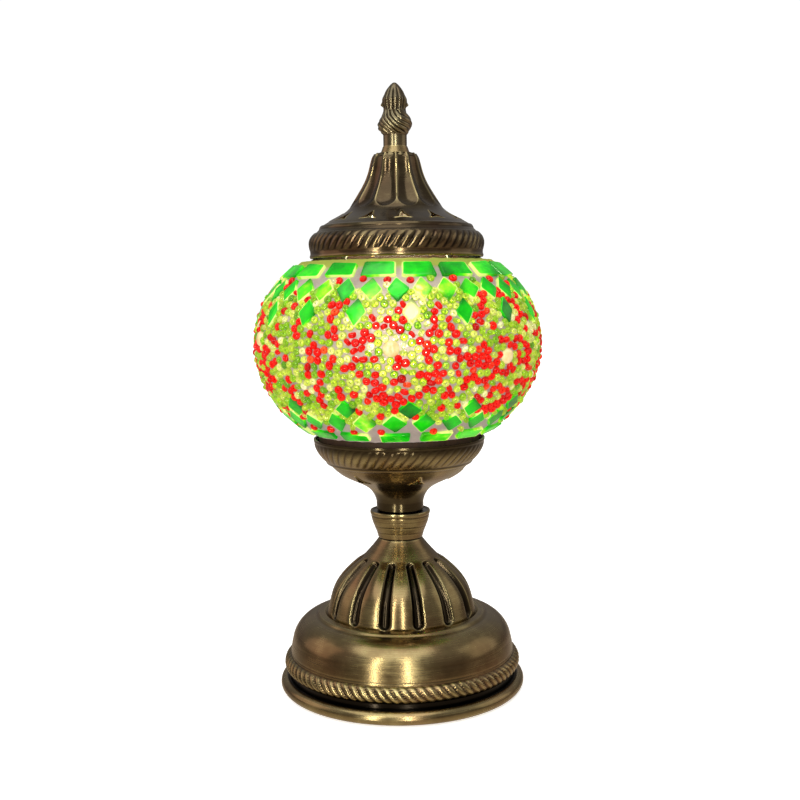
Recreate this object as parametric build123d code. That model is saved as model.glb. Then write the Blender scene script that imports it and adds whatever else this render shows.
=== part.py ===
"""Mosaic glass table lamp: a brass foot, a glass globe set with tiles and beads, and a cap with a finial.

The frame is in millimetres. The origin is the middle of the felt pad's underside, +Z is up along the lamp's
axis, and -Y is the front. Outlines of turned and pressed pieces are lists of (radius, height).
"""

from build123d import *
import math
import os

# ---- driving dimensions --------------------------------------------------------------------------
TOTAL_HEIGHT = 252.4
SHEET = 0.8  # wall of the pressed brass shells
RUNNING_GAP = 0.05  # radial gap round a thread or a pin

FELT_RADIUS = 46.0
FELT_THICKNESS = 1.2
FOOT_RADIUS = 51.8
FOOT_TOP = 6.0
FOOT_BEAD = 2.75  # radius of the rolled edge
BELL_FOOT = 47.6

BELL_TOP = 31.3
DOME_TOP = 63.6
COLLAR_TOP = 77.2
CUP_FLOOR = 76.2
CUP_RIM = 106.6
RIM_RADIUS = 35.7  # outside of the lips that hold the globe
SEAL_BORE = 31.0  # inside of the rubber rings above and below the globe

GLOBE_MIDDLE = 146.3
GLASS_RADIUS = 57.0
GLASS_RISE = 43.8  # half height above the middle, if the globe were not cut open
GLASS_DROP = 45.5  # half height below the middle, if the globe were not cut open
GLASS_WALL = 3.0
GLASS_FOOT = 109.3  # lower cut of the globe
GLASS_HEAD = 182.0  # upper cut of the globe
GROUT = 1.0
MOSAIC = 2.7  # grout and tile together

CAP_RIM = 181.4
CAP_TOP = 223.8
WASHER_TOP = 226.6
STUD_TOP = 232.3
CAP_VENTS = 12
CUP_VENTS = 6

PIPE_RADIUS = 4.9
PIPE_BORE = 3.6
PIPE_FOOT = 52.0
PIPE_HEAD = 96.0
STUD_RADIUS = 3.0
STUD_FOOT = 196.5
WIRE_RADIUS = 1.4
HARP_REACH = 22.5
HARP_FLOOR = 84.0
HARP_TOP = 203.2

SOCKET_FOOT = 90.0
SOCKET_RADIUS = 13.5
SOCKET_BORE = 9.2
SOCKET_FLOOR = 100.5
SOCKET_TOP = 126.0
SCREW_ROOT = 8.2  # the socket's brass shell, outside, between its thread's waves
SCREW_CREST = 8.7
SCREW_SHEET = 0.5
TERMINAL_REACH = 5.6
BULB_BASE_ROOT = 6.3
BULB_BASE_RADIUS = 6.9
BULB_BASE_FOOT = 108.4
BULB_PITCH = 2.83
BULB_NECK = 6.4
BULB_WALL = 0.8
BULB_TIP = 104.0
BULB_MIDDLE = 154.5
BULB_RADIUS = 17.5

INLET_HEIGHT = 19.6
INLET_BORE = 2.6
INLET_HOLE = 3.4

# Rows of the mosaic: number of tiles, latitude in degrees, azimuth of the first in degrees, width and height
TOP_RIM_TILES = (19, 40.0, 10.5, 13.2, 7.6)
UPPER_DIAMONDS = (34, 28.4, 0.0, 8.8, 11.0)
UPPER_POINTS = (17, 17.2, 5.3, 7.8, 12.0)
LOWER_POINTS = (13, -28.4, 4.8, 9.0, 8.8)
LOWER_DIAMONDS = (26, -36.4, -2.1, 9.6, 10.6)
BOTTOM_RIM_TILES = (16, -46.6, -1.8, 12.4, 5.2)
BEAD_BAND = (-22.0, 9.0)  # latitudes that the bead layer spans
CENTRE_BEADS = ((-68.6, 4.0), (-2.3, 0.5), (45.5, -4.5), (108.0, 1.0), (168.0, -3.0), (-128.0, 3.0))
CENTRE_BEAD_RADIUS = 3.2


# ---- helpers -------------------------------------------------------------------------------------
def arc_points(centre, radii, start, end, count):
    """Points on an ellipse's arc, from the start angle to the end angle in degrees."""
    points = []
    for i in range(count):
        angle = math.radians(start + (end - start) * i / (count - 1))
        points.append((centre[0] + radii[0] * math.cos(angle), centre[1] + radii[1] * math.sin(angle)))
    return points


def lathe(*stretches):
    """The solid of revolution inside a closed outline. A stretch of over two points is a smooth curve."""
    edges = []
    for i, stretch in enumerate(stretches):
        edges.append(Spline(*stretch) if len(stretch) > 2 else Line(*stretch))
        following = stretches[(i + 1) % len(stretches)][0]
        if math.dist(stretch[-1], following) > 1e-6:
            edges.append(Line(stretch[-1], following))
    return revolve(Plane.XZ * make_face(edges), Axis.Z)


def turned(*points):
    """The solid of revolution inside a closed outline of straight lines."""
    return revolve(Plane.XZ * make_face(Polyline(*points, close=True)), Axis.Z)


def ring(inner, outer, low, high):
    return turned((inner, low), (outer, low), (outer, high), (inner, high))


def moved_in(points, distance):
    """The points of an outline that runs upward, moved towards the axis by the thickness of a wall."""
    result = []
    last = len(points) - 1
    for i, (radius, height) in enumerate(points):
        before, after = points[max(i - 1, 0)], points[min(i + 1, last)]
        run, rise = after[0] - before[0], after[1] - before[1]
        length = math.hypot(run, rise)
        result.append((radius - distance * rise / length, height + distance * run / length))
    return result


def pressed(*stretches, wall=SHEET):
    """A sheet shell whose outside is the outline, given as stretches that follow on from each other."""
    merged = [stretches[0][0]]
    for stretch in stretches:
        merged += stretch[1:]
    inside = moved_in(merged, wall)
    inner_stretches, start = [], 0
    for stretch in stretches:
        end = start + len(stretch) - 1
        inner_stretches.append(list(reversed(inside[start : end + 1])))
        start = end
    return lathe(*stretches, *reversed(inner_stretches))


def hexagon_nut(across_flats, bore, low, height):
    blank = extrude(RegularPolygon(across_flats / 2, 6, major_radius=False), height)
    return Pos(0, 0, low) * (blank - Cylinder(bore, 3 * height))


def globe_point(latitude, offset, azimuth=None):
    """A point at a distance outside the glass, and the outward direction there."""
    angle = math.radians(latitude)
    rise = GLASS_RISE if latitude > 0 else GLASS_DROP
    across, up = math.cos(angle) / GLASS_RADIUS, math.sin(angle) / rise
    length = math.hypot(across, up)
    across, up = across / length, up / length
    radius = GLASS_RADIUS * math.cos(angle) + offset * across
    height = GLOBE_MIDDLE + rise * math.sin(angle) + offset * up
    if azimuth is None:
        return radius, height
    turn = math.radians(azimuth)
    place = (radius * math.sin(turn), -radius * math.cos(turn), height)
    return place, (across * math.sin(turn), -across * math.cos(turn), up)


def globe_curve(offset, low, high, count=9):
    return [globe_point(low + (high - low) * i / (count - 1), offset) for i in range(count)]


def globe_layer(inner, outer, low, high):
    """A layer on the globe between two distances outside the glass and between two latitudes."""
    below, above = min(high, 0.0), max(low, 0.0)
    outside = [globe_curve(outer, low, below)] if low < 0 else []
    inside = [globe_curve(inner, below, low)] if low < 0 else []
    if high > 0:
        outside.append(globe_curve(outer, above, high))
        inside.insert(0, globe_curve(inner, high, above))
    return lathe(*outside, *inside)


def flat_tile(outline, azimuth, latitude, inner, outer):
    """A flat piece of glass laid against the globe, with its outline in the tangent plane."""
    place, outward = globe_point(latitude, inner, azimuth)
    sideways = (math.cos(math.radians(azimuth)), math.sin(math.radians(azimuth)), 0)
    plane = Plane(origin=place, x_dir=sideways, z_dir=outward)
    return extrude(plane * make_face(Polyline(*outline, close=True)), outer - inner)


def tile_row(row, shape):
    """One row of tiles, each its own solid."""
    count, latitude, first, width, height = row
    outline = shape(width, height)
    step = 360 / count
    return [flat_tile(outline, first + i * step, latitude, GROUT - 0.3, MOSAIC) for i in range(count)]


def diamond(width, height):
    return [(0, -height / 2), (width / 2, 0), (0, height / 2), (-width / 2, 0)]


def trapezoid(below, above, height):
    low, high = -height / 2, height / 2
    return [(-below / 2, low), (below / 2, low), (above / 2, high), (-above / 2, high)]


def upper_trapezoid(width, height):
    return trapezoid(width, 0.88 * width, height)


def lower_trapezoid(width, height):
    return trapezoid(0.9 * width, width, height)


def group(solids):
    return Compound(children=list(solids))


# ---- the foot ------------------------------------------------------------------------------------
def felt_pad():
    return extrude(Circle(FELT_RADIUS), FELT_THICKNESS)


def foot_ring():
    """A channel of brass sheet whose outer edge is rolled into a bead."""
    centre = FOOT_RADIUS - FOOT_BEAD
    shelf, web, sole, hem = 42.0, BELL_FOOT, 40.0, 48.2
    ledge, lining = FOOT_TOP - 1, FELT_THICKNESS + 1
    return lathe(
        arc_points((centre, FOOT_TOP - FOOT_BEAD), (FOOT_BEAD, FOOT_BEAD), -90, 90, 9),
        [(centre, FOOT_TOP), (shelf, FOOT_TOP)],
        [(shelf, FOOT_TOP), (shelf, ledge)],
        [(shelf, ledge), (web, ledge)],
        [(web, ledge), (web, lining)],
        [(web, lining), (sole, lining)],
        [(sole, lining), (sole, FELT_THICKNESS)],
        [(sole, FELT_THICKNESS), (hem, FELT_THICKNESS)],
    )


def base_bell():
    """The broad lower bell, with a rope ring pressed round its foot and a flange that carries the dome."""
    rope = arc_points((47.0, 11.8), (2.6, 3.3), -72, 84, 9)
    side = [(47.4, 15.4), (47.1, 18.0), (46.6, 20.6)]
    shoulder = arc_points((35.5, 19.2), (11.1, 11.8), 10, 86, 8)
    shell = pressed(
        [(BELL_FOOT, FOOT_TOP), (BELL_FOOT, 8.4)],
        [(BELL_FOOT, 8.4), rope[0]],
        rope,
        [rope[-1], side[0]],
        side,
        [side[-1], shoulder[0]],
        shoulder,
        [shoulder[-1], (34.6, 31.6)],
        [(34.6, 31.6), (32.6, 31.9)],
        [(32.6, 31.9), (31.6, BELL_TOP)],
        [(31.6, BELL_TOP), (27.0, BELL_TOP)],
    )
    inlet = Pos(0, BELL_FOOT, INLET_HEIGHT) * Rot(90, 0, 0) * Cylinder(INLET_HOLE, 14)
    return shell - inlet


def cord_grommet():
    """A rubber grommet in the back of the bell, with a groove that the curved sheet sits in."""
    flange, barrel = INLET_HOLE + 0.8, INLET_HOLE - 0.1
    inside, outside = (43.3, 44.8), (47.45, 49.4)
    bush = turned(
        (INLET_BORE, inside[0]),
        (flange, inside[0]),
        (flange, inside[1]),
        (barrel, inside[1]),
        (barrel, outside[0]),
        (flange, outside[0]),
        (flange - 0.5, outside[1]),
        (INLET_BORE, outside[1]),
    )
    return Pos(0, 0, INLET_HEIGHT) * Rot(-90, 0, 0) * bush


def base_dome():
    """The tall dome on the bell, closed at its top round the lamp pipe."""
    side = [
        (31.2, 32.2), (30.5, 35.0), (29.7, 38.0), (28.7, 41.0), (27.0, 44.3), (24.5, 47.6),
        (20.9, 51.2), (16.9, 54.8), (13.8, 58.1), (11.0, 61.3), (9.7, 63.0),
    ]
    return pressed(
        [(31.2, BELL_TOP), (31.2, 32.2)],
        side,
        [side[-1], (9.3, DOME_TOP)],
        [(9.3, DOME_TOP), (PIPE_RADIUS + 0.2, DOME_TOP)],
    )


def neck_collar():
    """A turned spool between the dome and the cup, dished at the top for the cup's foot."""
    bore = PIPE_RADIUS + 0.2
    lip = arc_points((11.0, 75.1), (1.7, 2.1), -35, 90, 7)
    return lathe(
        [(bore, DOME_TOP), (9.3, DOME_TOP)],
        [(9.3, DOME_TOP), (9.6, 65.0), (10.2, 66.9), (11.3, 69.6), (12.1, 72.2), lip[0]],
        lip,
        [lip[-1], (10.4, COLLAR_TOP)],
        [(10.4, COLLAR_TOP), (10.2, CUP_FLOOR)],
        [(10.2, CUP_FLOOR), (bore, CUP_FLOOR)],
    )


# ---- the pipe and what it clamps -----------------------------------------------------------------
def lamp_pipe():
    return ring(PIPE_BORE, PIPE_RADIUS, PIPE_FOOT, PIPE_HEAD)


def base_washer():
    return ring(PIPE_RADIUS + 0.2, 8.0, DOME_TOP - SHEET - 1.2, DOME_TOP - SHEET)


def pipe_nuts():
    """Four equal nuts on the pipe: under the dome, in the cup, and below and above the harp's saddle."""
    thickness = 3.2
    floors = (
        DOME_TOP - SHEET - 1.2 - thickness,
        CUP_FLOOR + SHEET,
        HARP_FLOOR - thickness,
        HARP_FLOOR + 1.2,
    )
    return group(hexagon_nut(13, PIPE_RADIUS + RUNNING_GAP, low, thickness) for low in floors)


def pierced(shell, count, first, radius, height, tilt):
    """The shell with a ring of small three-pointed openings cut through it, each pointing up the shell."""
    outline = [(-3.3, -2.3), (0, -1.7), (3.3, -2.3), (1.2, 0.4), (0, 4.1), (-1.2, 0.4)]
    tool = extrude(Plane.XY * make_face(Polyline(*outline, close=True)), 2, both=True)
    for i in range(count):
        turn = first + 360 / count * i
        shell -= Rot(0, 0, turn) * Pos(0, -radius, height) * Rot(90 - tilt, 0, 0) * tool
    return shell


def lower_cup():
    """The pressed cup: a narrow foot, a pierced bowl, a step, a rope ring and a lip."""
    bowl = [
        (9.9, 79.4), (10.3, 81.0), (11.1, 82.8), (12.7, 84.9), (15.7, 87.0),
        (20.0, 89.1), (24.0, 91.1), (26.8, 93.2), (29.2, 95.6),
    ]
    rope = [(30.6, 96.6), (32.6, 98.8), (34.4, 101.4), (35.4, 103.6), (35.7, 105.2)]
    shell = pressed(
        [(PIPE_RADIUS + 0.2, CUP_FLOOR), (9.9, CUP_FLOOR)],
        [(9.9, CUP_FLOOR), bowl[0]],
        bowl,
        [bowl[-1], rope[0]],
        rope,
        [rope[-1], (RIM_RADIUS, CUP_RIM)],
    )
    return pierced(shell, CUP_VENTS, 18, 23.6, 90.8, -57)


def seat_ring():
    """The rubber ring inside the cup that the globe's cut edge stands on."""
    low, side = 100.9, 33.6
    outline = [(SEAL_BORE, low), (33.0, low), (side, low + 0.9), (side, GLASS_FOOT), (SEAL_BORE, GLASS_FOOT)]
    return turned(*outline)


def harp():
    """A wire bow that rises through the globe, from a saddle on the pipe to an eye for the stud."""
    saddle = Pos(0, 0, HARP_FLOOR) * extrude(Circle(9.4) - Circle(PIPE_RADIUS + RUNNING_GAP), 1.2)
    eye = Pos(0, 0, HARP_TOP - 3.2) * extrude(Circle(7.4) - Circle(STUD_RADIUS + RUNNING_GAP), 3.2)
    corners = [
        (8.6, HARP_FLOOR + 0.6),
        (14.0, 89.5),
        (HARP_REACH, 101.0),
        (HARP_REACH, 182.0),
        (17.0, 195.0),
        (6.8, HARP_TOP - 1.6),
    ]
    path = Plane.XZ * FilletPolyline(*corners, radius=[5, 8, 12, 7])
    start = Plane(origin=path @ 0, z_dir=path % 0)
    arm = sweep(start * Circle(WIRE_RADIUS), path=path)
    both = arm + mirror(arm, Plane.YZ)
    keep_clear = Pos(0, 0, HARP_FLOOR) * Cylinder(7.7, 20) + Pos(0, 0, HARP_TOP) * Cylinder(6.0, 20)
    return saddle + eye + (both - keep_clear)


def finial_stud():
    return Pos(0, 0, STUD_FOOT) * extrude(Circle(STUD_RADIUS), STUD_TOP - STUD_FOOT)


def stud_nuts():
    thickness = 3.0
    bore = STUD_RADIUS + RUNNING_GAP
    floors = (HARP_TOP - 3.2 - thickness, HARP_TOP)
    return group(hexagon_nut(10, bore, low, thickness) for low in floors)


# ---- the socket ----------------------------------------------------------------------------------
def socket_body():
    """A moulded holder: a boss on the pipe, a floor, and a barrel round the screw shell."""
    return turned(
        (PIPE_RADIUS + RUNNING_GAP, SOCKET_FOOT),
        (9.5, SOCKET_FOOT),
        (9.5, 94.0),
        (SOCKET_RADIUS, 97.5),
        (SOCKET_RADIUS, SOCKET_TOP),
        (SOCKET_BORE, SOCKET_TOP),
        (SOCKET_BORE, SOCKET_FLOOR),
        (3.2, SOCKET_FLOOR),
        (3.2, 96.2),
        (PIPE_RADIUS + RUNNING_GAP, 96.2),
    )


def screw_shell():
    """The socket's brass shell, with the waves of its thread."""
    first, waves = 104.0, 6
    pitch = (SOCKET_TOP - 3 - first) / waves
    outer = [(SCREW_ROOT, SOCKET_FLOOR), (SCREW_ROOT, first)]
    for i in range(waves):
        outer.append((SCREW_CREST, first + (i + 0.5) * pitch))
        outer.append((SCREW_ROOT, first + (i + 1) * pitch))
    inner = [(radius - SCREW_SHEET, height) for radius, height in reversed(outer)]
    return turned(*outer, *inner)


def socket_contact():
    """The bent tongue at the bottom of the socket, which the bulb presses on."""
    top = SOCKET_FLOOR + 0.5
    side = [
        (-6.0, SOCKET_FLOOR), (3.6, SOCKET_FLOOR), (5.2, 101.9), (0.0, 103.4),
        (0.0, 103.0), (4.2, 101.8), (3.3, top), (-6.0, top),
    ]
    half_width = 2.2
    return extrude(Plane.XZ * make_face(Polyline(*side, close=True)), half_width, both=True)


def terminal_screws():
    """Two screws in the socket's floor, one for each lead."""
    solids = []
    for side in (-1, 1):
        middle = side * TERMINAL_REACH
        shank = Pos(0, middle, SOCKET_FLOOR - 1.8) * Cylinder(1.2, 3.6)
        head = Pos(0, middle, SOCKET_FLOOR + 0.7) * Cylinder(1.5, 1.4)
        slot = Pos(0, middle, SOCKET_FLOOR + 1.4) * Box(3.4, 0.5, 0.8)
        solids.append(shank + head - slot)
    return group(solids)


# ---- the bulb ------------------------------------------------------------------------------------
def bulb_contact():
    return Pos(0, 0, BULB_TIP) * extrude(Circle(1.8), 1.0)


def bulb_insulator():
    rim, top = 6.2, BULB_BASE_FOOT
    return turned((1.9, 104.4), (4.2, 105.4), (rim, 107.6), (rim, top), (0, top), (0, 105.0), (1.9, 105.0))


def bulb_base():
    """The bulb's screw base, a thin shell with the waves of its thread."""
    waves, sheet = 5, 0.4
    outer = [(BULB_BASE_ROOT, BULB_BASE_FOOT)]
    for i in range(waves):
        outer.append((BULB_BASE_RADIUS, BULB_BASE_FOOT + (i + 0.5) * BULB_PITCH))
        outer.append((BULB_BASE_ROOT, BULB_BASE_FOOT + (i + 1) * BULB_PITCH))
    outer += [(BULB_BASE_RADIUS, 128.0), (7.2, 131.0)]
    inner = [(radius - sheet, height) for radius, height in reversed(outer)]
    return turned(*outer, *inner)


def bulb_glass():
    """The round bulb, blown in one piece with its neck."""
    start, inside = -66, BULB_RADIUS - BULB_WALL
    foot, shoulder, waist = 129.0, 134.0, 136.5
    bore = BULB_NECK - BULB_WALL
    ball = arc_points((0, BULB_MIDDLE), (BULB_RADIUS, BULB_RADIUS), start, 90, 12)
    hollow = arc_points((0, BULB_MIDDLE), (inside, inside), 90, start, 12)
    return lathe(
        [(BULB_NECK, foot), (BULB_NECK, shoulder)],
        [(BULB_NECK, shoulder), (BULB_NECK + 0.1, waist), ball[0]],
        ball,
        hollow,
        [hollow[-1], (bore + 0.1, waist), (bore, shoulder)],
        [(bore, shoulder), (bore, foot)],
    )


def bulb_stem():
    """The glass stem that holds the filaments up inside the bulb."""
    return turned((0, 112), (4.6, 112), (4.6, 130), (2.2, 137), (1.6, 150), (1.2, 164), (0, 165))


def bulb_filaments():
    """Four lit rods round the stem."""
    solids = []
    for i in range(4):
        rod = Pos(4.2, 0, 142) * Rot(0, 8, 0) * extrude(Circle(0.7), 20)
        solids.append(Rot(0, 0, 45 + 90 * i) * rod)
    return group(solids)


# ---- the globe -----------------------------------------------------------------------------------
def glass_globe():
    """Blown glass, cut flat below and above."""
    low = -math.degrees(math.asin((GLOBE_MIDDLE - GLASS_FOOT) / GLASS_DROP))
    high = math.degrees(math.asin((GLASS_HEAD - GLOBE_MIDDLE) / GLASS_RISE))
    inner_low = -math.degrees(math.asin((GLOBE_MIDDLE - GLASS_FOOT) / (GLASS_DROP - GLASS_WALL)))
    inner_high = math.degrees(math.asin((GLASS_HEAD - GLOBE_MIDDLE) / (GLASS_RISE - GLASS_WALL)))
    middle = (0, GLOBE_MIDDLE)
    across = GLASS_RADIUS - GLASS_WALL
    return lathe(
        globe_curve(0, low, 0),
        globe_curve(0, 0, high),
        arc_points(middle, (across, GLASS_RISE - GLASS_WALL), inner_high, 0, 9),
        arc_points(middle, (across, GLASS_DROP - GLASS_WALL), 0, inner_low, 9),
    )


def grout_layer():
    return globe_layer(0, GROUT, -51.8, 45.2)


def centre_bead(azimuth, latitude, grow=0.0):
    place, outward = globe_point(latitude, GROUT - 0.3, azimuth)
    disc = extrude(Circle(CENTRE_BEAD_RADIUS + grow), MOSAIC - GROUT + 0.2 + grow)
    return Plane(origin=place, z_dir=outward) * disc


def bead_layer():
    """The band of small beads, as one layer with holes for the large beads."""
    layer = globe_layer(GROUT, MOSAIC, *BEAD_BAND)
    for azimuth, latitude in CENTRE_BEADS:
        layer -= centre_bead(azimuth, latitude, grow=0.2)
    return layer


def centre_beads():
    return group(centre_bead(*place) for place in CENTRE_BEADS)


# ---- the cap and the finial ----------------------------------------------------------------------
def top_cap():
    """The pressed cap: a lip, a rope ring, a pierced skirt and a tall cone closed round the stud."""
    lip_top = 184.0
    rope = [(RIM_RADIUS, lip_top), (36.1, 187.0), (35.9, 188.8), (35.1, 190.4), (33.4, 192.2)]
    skirt = [(33.4, 192.2), (31.2, 194.2), (28.0, 196.2), (24.4, 198.1), (21.5, 199.8), (19.2, 201.8)]
    cone = [
        (19.2, 201.8), (17.4, 204.8), (15.4, 208.0), (13.5, 211.2),
        (12.0, 214.4), (11.0, 217.4), (10.2, 220.6), (9.5, 222.6),
    ]
    shell = pressed(
        [(RIM_RADIUS, CAP_RIM), (RIM_RADIUS, lip_top)],
        rope,
        skirt,
        cone,
        [cone[-1], (8.7, CAP_TOP)],
        [(8.7, CAP_TOP), (STUD_RADIUS + 0.3, CAP_TOP)],
    )
    return pierced(shell, CAP_VENTS, 6, 25.6, 197.4, 62)


def cap_seal():
    """The rubber ring inside the cap that bears on the globe's upper cut edge."""
    low, top = GLASS_HEAD + 0.05, 190.4
    return turned((SEAL_BORE, low), (33.8, low), (33.8, top - 0.8), (33.0, top), (SEAL_BORE, top))


def finial_washer():
    low, bore = CAP_TOP + 0.05, STUD_RADIUS + 0.2
    side = [(6.1, low), (5.7, 224.9), (5.1, WASHER_TOP)]
    return lathe(
        [(bore, low), side[0]],
        side,
        [side[-1], (bore, WASHER_TOP)],
    )


def finial():
    """A cast bud on a plain neck, bored from below for the stud."""
    bore, neck = STUD_RADIUS + RUNNING_GAP, 4.85
    low, neck_top = WASHER_TOP + 0.05, 231.2
    bore_shoulder, bore_tip = 234.5, 236.0
    bud = [
        (neck, neck_top), (5.4, 232.3), (6.5, 233.8), (6.9, 235.4), (6.5, 237.4),
        (5.2, 239.4), (4.5, 240.9), (4.4, 242.4), (4.8, 244.4), (4.9, 245.6),
        (4.2, 247.2), (3.5, 248.8), (2.3, 250.8), (0.6, TOTAL_HEIGHT),
    ]
    return lathe(
        [(bore, low), (neck, low)],
        [(neck, low), (neck, neck_top)],
        bud,
        [bud[-1], (0, TOTAL_HEIGHT)],
        [(0, TOTAL_HEIGHT), (0, bore_tip)],
        [(0, bore_tip), (bore, bore_shoulder)],
        [(bore, bore_shoulder), (bore, low)],
    )


# ---- every node ----------------------------------------------------------------------------------
NODES = {
    "felt_pad": felt_pad,
    "foot_ring": foot_ring,
    "base_bell": base_bell,
    "cord_grommet": cord_grommet,
    "base_dome": base_dome,
    "neck_collar": neck_collar,
    "lamp_pipe": lamp_pipe,
    "base_washer": base_washer,
    "pipe_nuts": pipe_nuts,
    "lower_cup": lower_cup,
    "seat_ring": seat_ring,
    "harp": harp,
    "finial_stud": finial_stud,
    "stud_nuts": stud_nuts,
    "socket_body": socket_body,
    "screw_shell": screw_shell,
    "socket_contact": socket_contact,
    "terminal_screws": terminal_screws,
    "bulb_contact": bulb_contact,
    "bulb_insulator": bulb_insulator,
    "bulb_base": bulb_base,
    "bulb_glass": bulb_glass,
    "bulb_stem": bulb_stem,
    "bulb_filaments": bulb_filaments,
    "glass_globe": glass_globe,
    "grout_layer": grout_layer,
    "bead_layer": bead_layer,
    "centre_beads": centre_beads,
    "top_rim_tiles": lambda: group(tile_row(TOP_RIM_TILES, upper_trapezoid)),
    "upper_diamonds": lambda: group(tile_row(UPPER_DIAMONDS, diamond)),
    "upper_points": lambda: group(tile_row(UPPER_POINTS, diamond)),
    "lower_points": lambda: group(tile_row(LOWER_POINTS, diamond)),
    "lower_diamonds": lambda: group(tile_row(LOWER_DIAMONDS, diamond)),
    "bottom_rim_tiles": lambda: group(tile_row(BOTTOM_RIM_TILES, lower_trapezoid)),
    "top_cap": top_cap,
    "cap_seal": cap_seal,
    "finial_washer": finial_washer,
    "finial": finial,
}

os.makedirs("parts", exist_ok=True)
for name, make in NODES.items():
    export_step(make(), f"parts/{name}.step")
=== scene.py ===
import math

import bpy
import numpy as np
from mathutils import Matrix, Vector


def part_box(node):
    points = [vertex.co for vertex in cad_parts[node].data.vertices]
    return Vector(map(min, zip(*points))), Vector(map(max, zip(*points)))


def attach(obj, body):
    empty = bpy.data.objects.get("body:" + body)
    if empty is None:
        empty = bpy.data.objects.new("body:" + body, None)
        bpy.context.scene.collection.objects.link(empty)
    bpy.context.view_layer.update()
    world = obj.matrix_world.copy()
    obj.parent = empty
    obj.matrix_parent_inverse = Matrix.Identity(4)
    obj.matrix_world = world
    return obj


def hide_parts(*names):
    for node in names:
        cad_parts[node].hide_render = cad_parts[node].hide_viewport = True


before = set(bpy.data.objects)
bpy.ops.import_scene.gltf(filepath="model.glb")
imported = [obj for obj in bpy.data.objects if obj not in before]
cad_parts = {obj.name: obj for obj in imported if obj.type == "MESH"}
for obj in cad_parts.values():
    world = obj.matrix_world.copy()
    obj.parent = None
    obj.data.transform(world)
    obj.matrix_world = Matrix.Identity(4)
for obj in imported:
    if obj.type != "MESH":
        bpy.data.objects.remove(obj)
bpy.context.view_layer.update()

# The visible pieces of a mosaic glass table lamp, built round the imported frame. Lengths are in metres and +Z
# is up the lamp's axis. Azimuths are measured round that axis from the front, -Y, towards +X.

MM = 0.001
TURN = 2 * math.pi
random = np.random.default_rng(254)

SHEET = 0.8 * MM  # wall of the pressed brass shells
GLASS_WALL = 3.0 * MM
LATHE_COLUMNS = 480  # points round a shell
COLLAR_COLUMNS = 256
WASHER_COLUMNS = 192
GLASS_COLUMNS = 256
GLASS_ROWS = 90
GROUT_COLUMNS = 720
GROUT_ROWS = 176
FINIAL_COLUMNS = 320
FLOOR_COLUMNS = 96

SHARP_EDGE = 40  # degrees between faces
TILE_EDGE = 50
BEVELLED_EDGE = 80
SMOOTH = 180  # an angle that leaves no edge sharp

# Pressed and cast relief
FOOT_STRANDS = 88
DOME_GROOVES = 14
CAP_FLUTES = 12
CAP_STRANDS = 59
CUP_STRANDS = 58
VENT_OUTLINE = ((-3.3, -2.3), (0, -1.7), (3.3, -2.3), (1.2, 0.4), (0, 4.1), (-1.2, 0.4))  # millimetres
CUP_VENTS = (6, 18.0, 23.6, 90.8, -57.0)  # count, first azimuth, radius, height and tilt, as in the CAD
CAP_VENTS = (12, 6.0, 25.6, 197.4, 62.0)

# Mosaic
GROUT_DEPTH = 1.60 * MM
TILE_TOP = 2.6 * MM  # height of a tile's face above the glass
TILE_REACH = 12 * MM  # every corner of a tile is nearer to its middle than this
BEAD_RADIUS = 1.66 * MM
BEAD_SEAT = 1.70 * MM  # height of a bead's middle above the glass
BEAD_PITCH = 3.2 * MM  # along a row of small beads
ROW_PITCH = 2.85 * MM  # from row to row
BEAD_FIELD = (-35, 29)  # latitudes, in degrees, of its lowest and highest rows
BEAD_SHIFT = 1.1 * MM  # how far a bead strays from its place in the row
BEAD_SPACING = 1.92 * BEAD_RADIUS  # between the middles of beads that touch
SETTLING_ROUNDS = 30
LARGE_BEAD_RADIUS = 3.2 * MM


# ---- reading the frame ----------------------------------------------------------------------------------
def cad_mesh(node):
    """A CAD node's points and edges."""
    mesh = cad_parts[node].data
    points = np.empty(len(mesh.vertices) * 3, np.float32)
    mesh.vertices.foreach_get("co", points)
    edges = np.empty(len(mesh.edges) * 2, np.int32)
    mesh.edges.foreach_get("vertices", edges)
    return points.reshape(-1, 3).astype(float), edges.reshape(-1, 2)


def outer_radius(node, heights):
    """The largest radius of a turned CAD node at each height."""
    points, edges = cad_mesh(node)
    a, b = points[edges[:, 0]], points[edges[:, 1]]
    swap = a[:, 2] > b[:, 2]
    a[swap], b[swap] = b[swap], a[swap].copy()
    radii = []
    for height in heights:
        crossing = (a[:, 2] <= height) & (b[:, 2] > height)
        low, high = a[crossing], b[crossing]
        share = (height - low[:, 2]) / (high[:, 2] - low[:, 2])
        place = low + (high - low) * share[:, None]
        radii.append(np.hypot(place[:, 0], place[:, 1]).max() if len(place) else np.nan)
    radii = np.array(radii)
    known = ~np.isnan(radii)
    return np.interp(heights, heights[known], radii[known])


def even_steps(outline, count):
    """An outline's points moved to equal distances along it."""
    steps = np.hypot(*np.diff(outline, axis=0).T)
    along = np.concatenate([[0], np.cumsum(steps)])
    wanted = np.linspace(0, along[-1], count)
    return np.stack([np.interp(wanted, along, outline[:, i]) for i in (0, 1)], 1)


def softened(outline, reach):
    """An evenly stepped outline with its corners rounded over about that distance, and its ends kept."""
    step = np.hypot(*(outline[1] - outline[0]))
    width = max(1, int(3 * reach / step))
    weights = np.exp(-0.5 * (np.arange(-width, width + 1) * step / reach) ** 2)
    weights /= weights.sum()
    before, after = outline[width:0:-1], outline[-2:-width - 2:-1]
    padded = np.concatenate([2 * outline[0] - before, outline, 2 * outline[-1] - after])
    return np.stack([np.convolve(padded[:, i], weights, "valid") for i in (0, 1)], 1)


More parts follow.
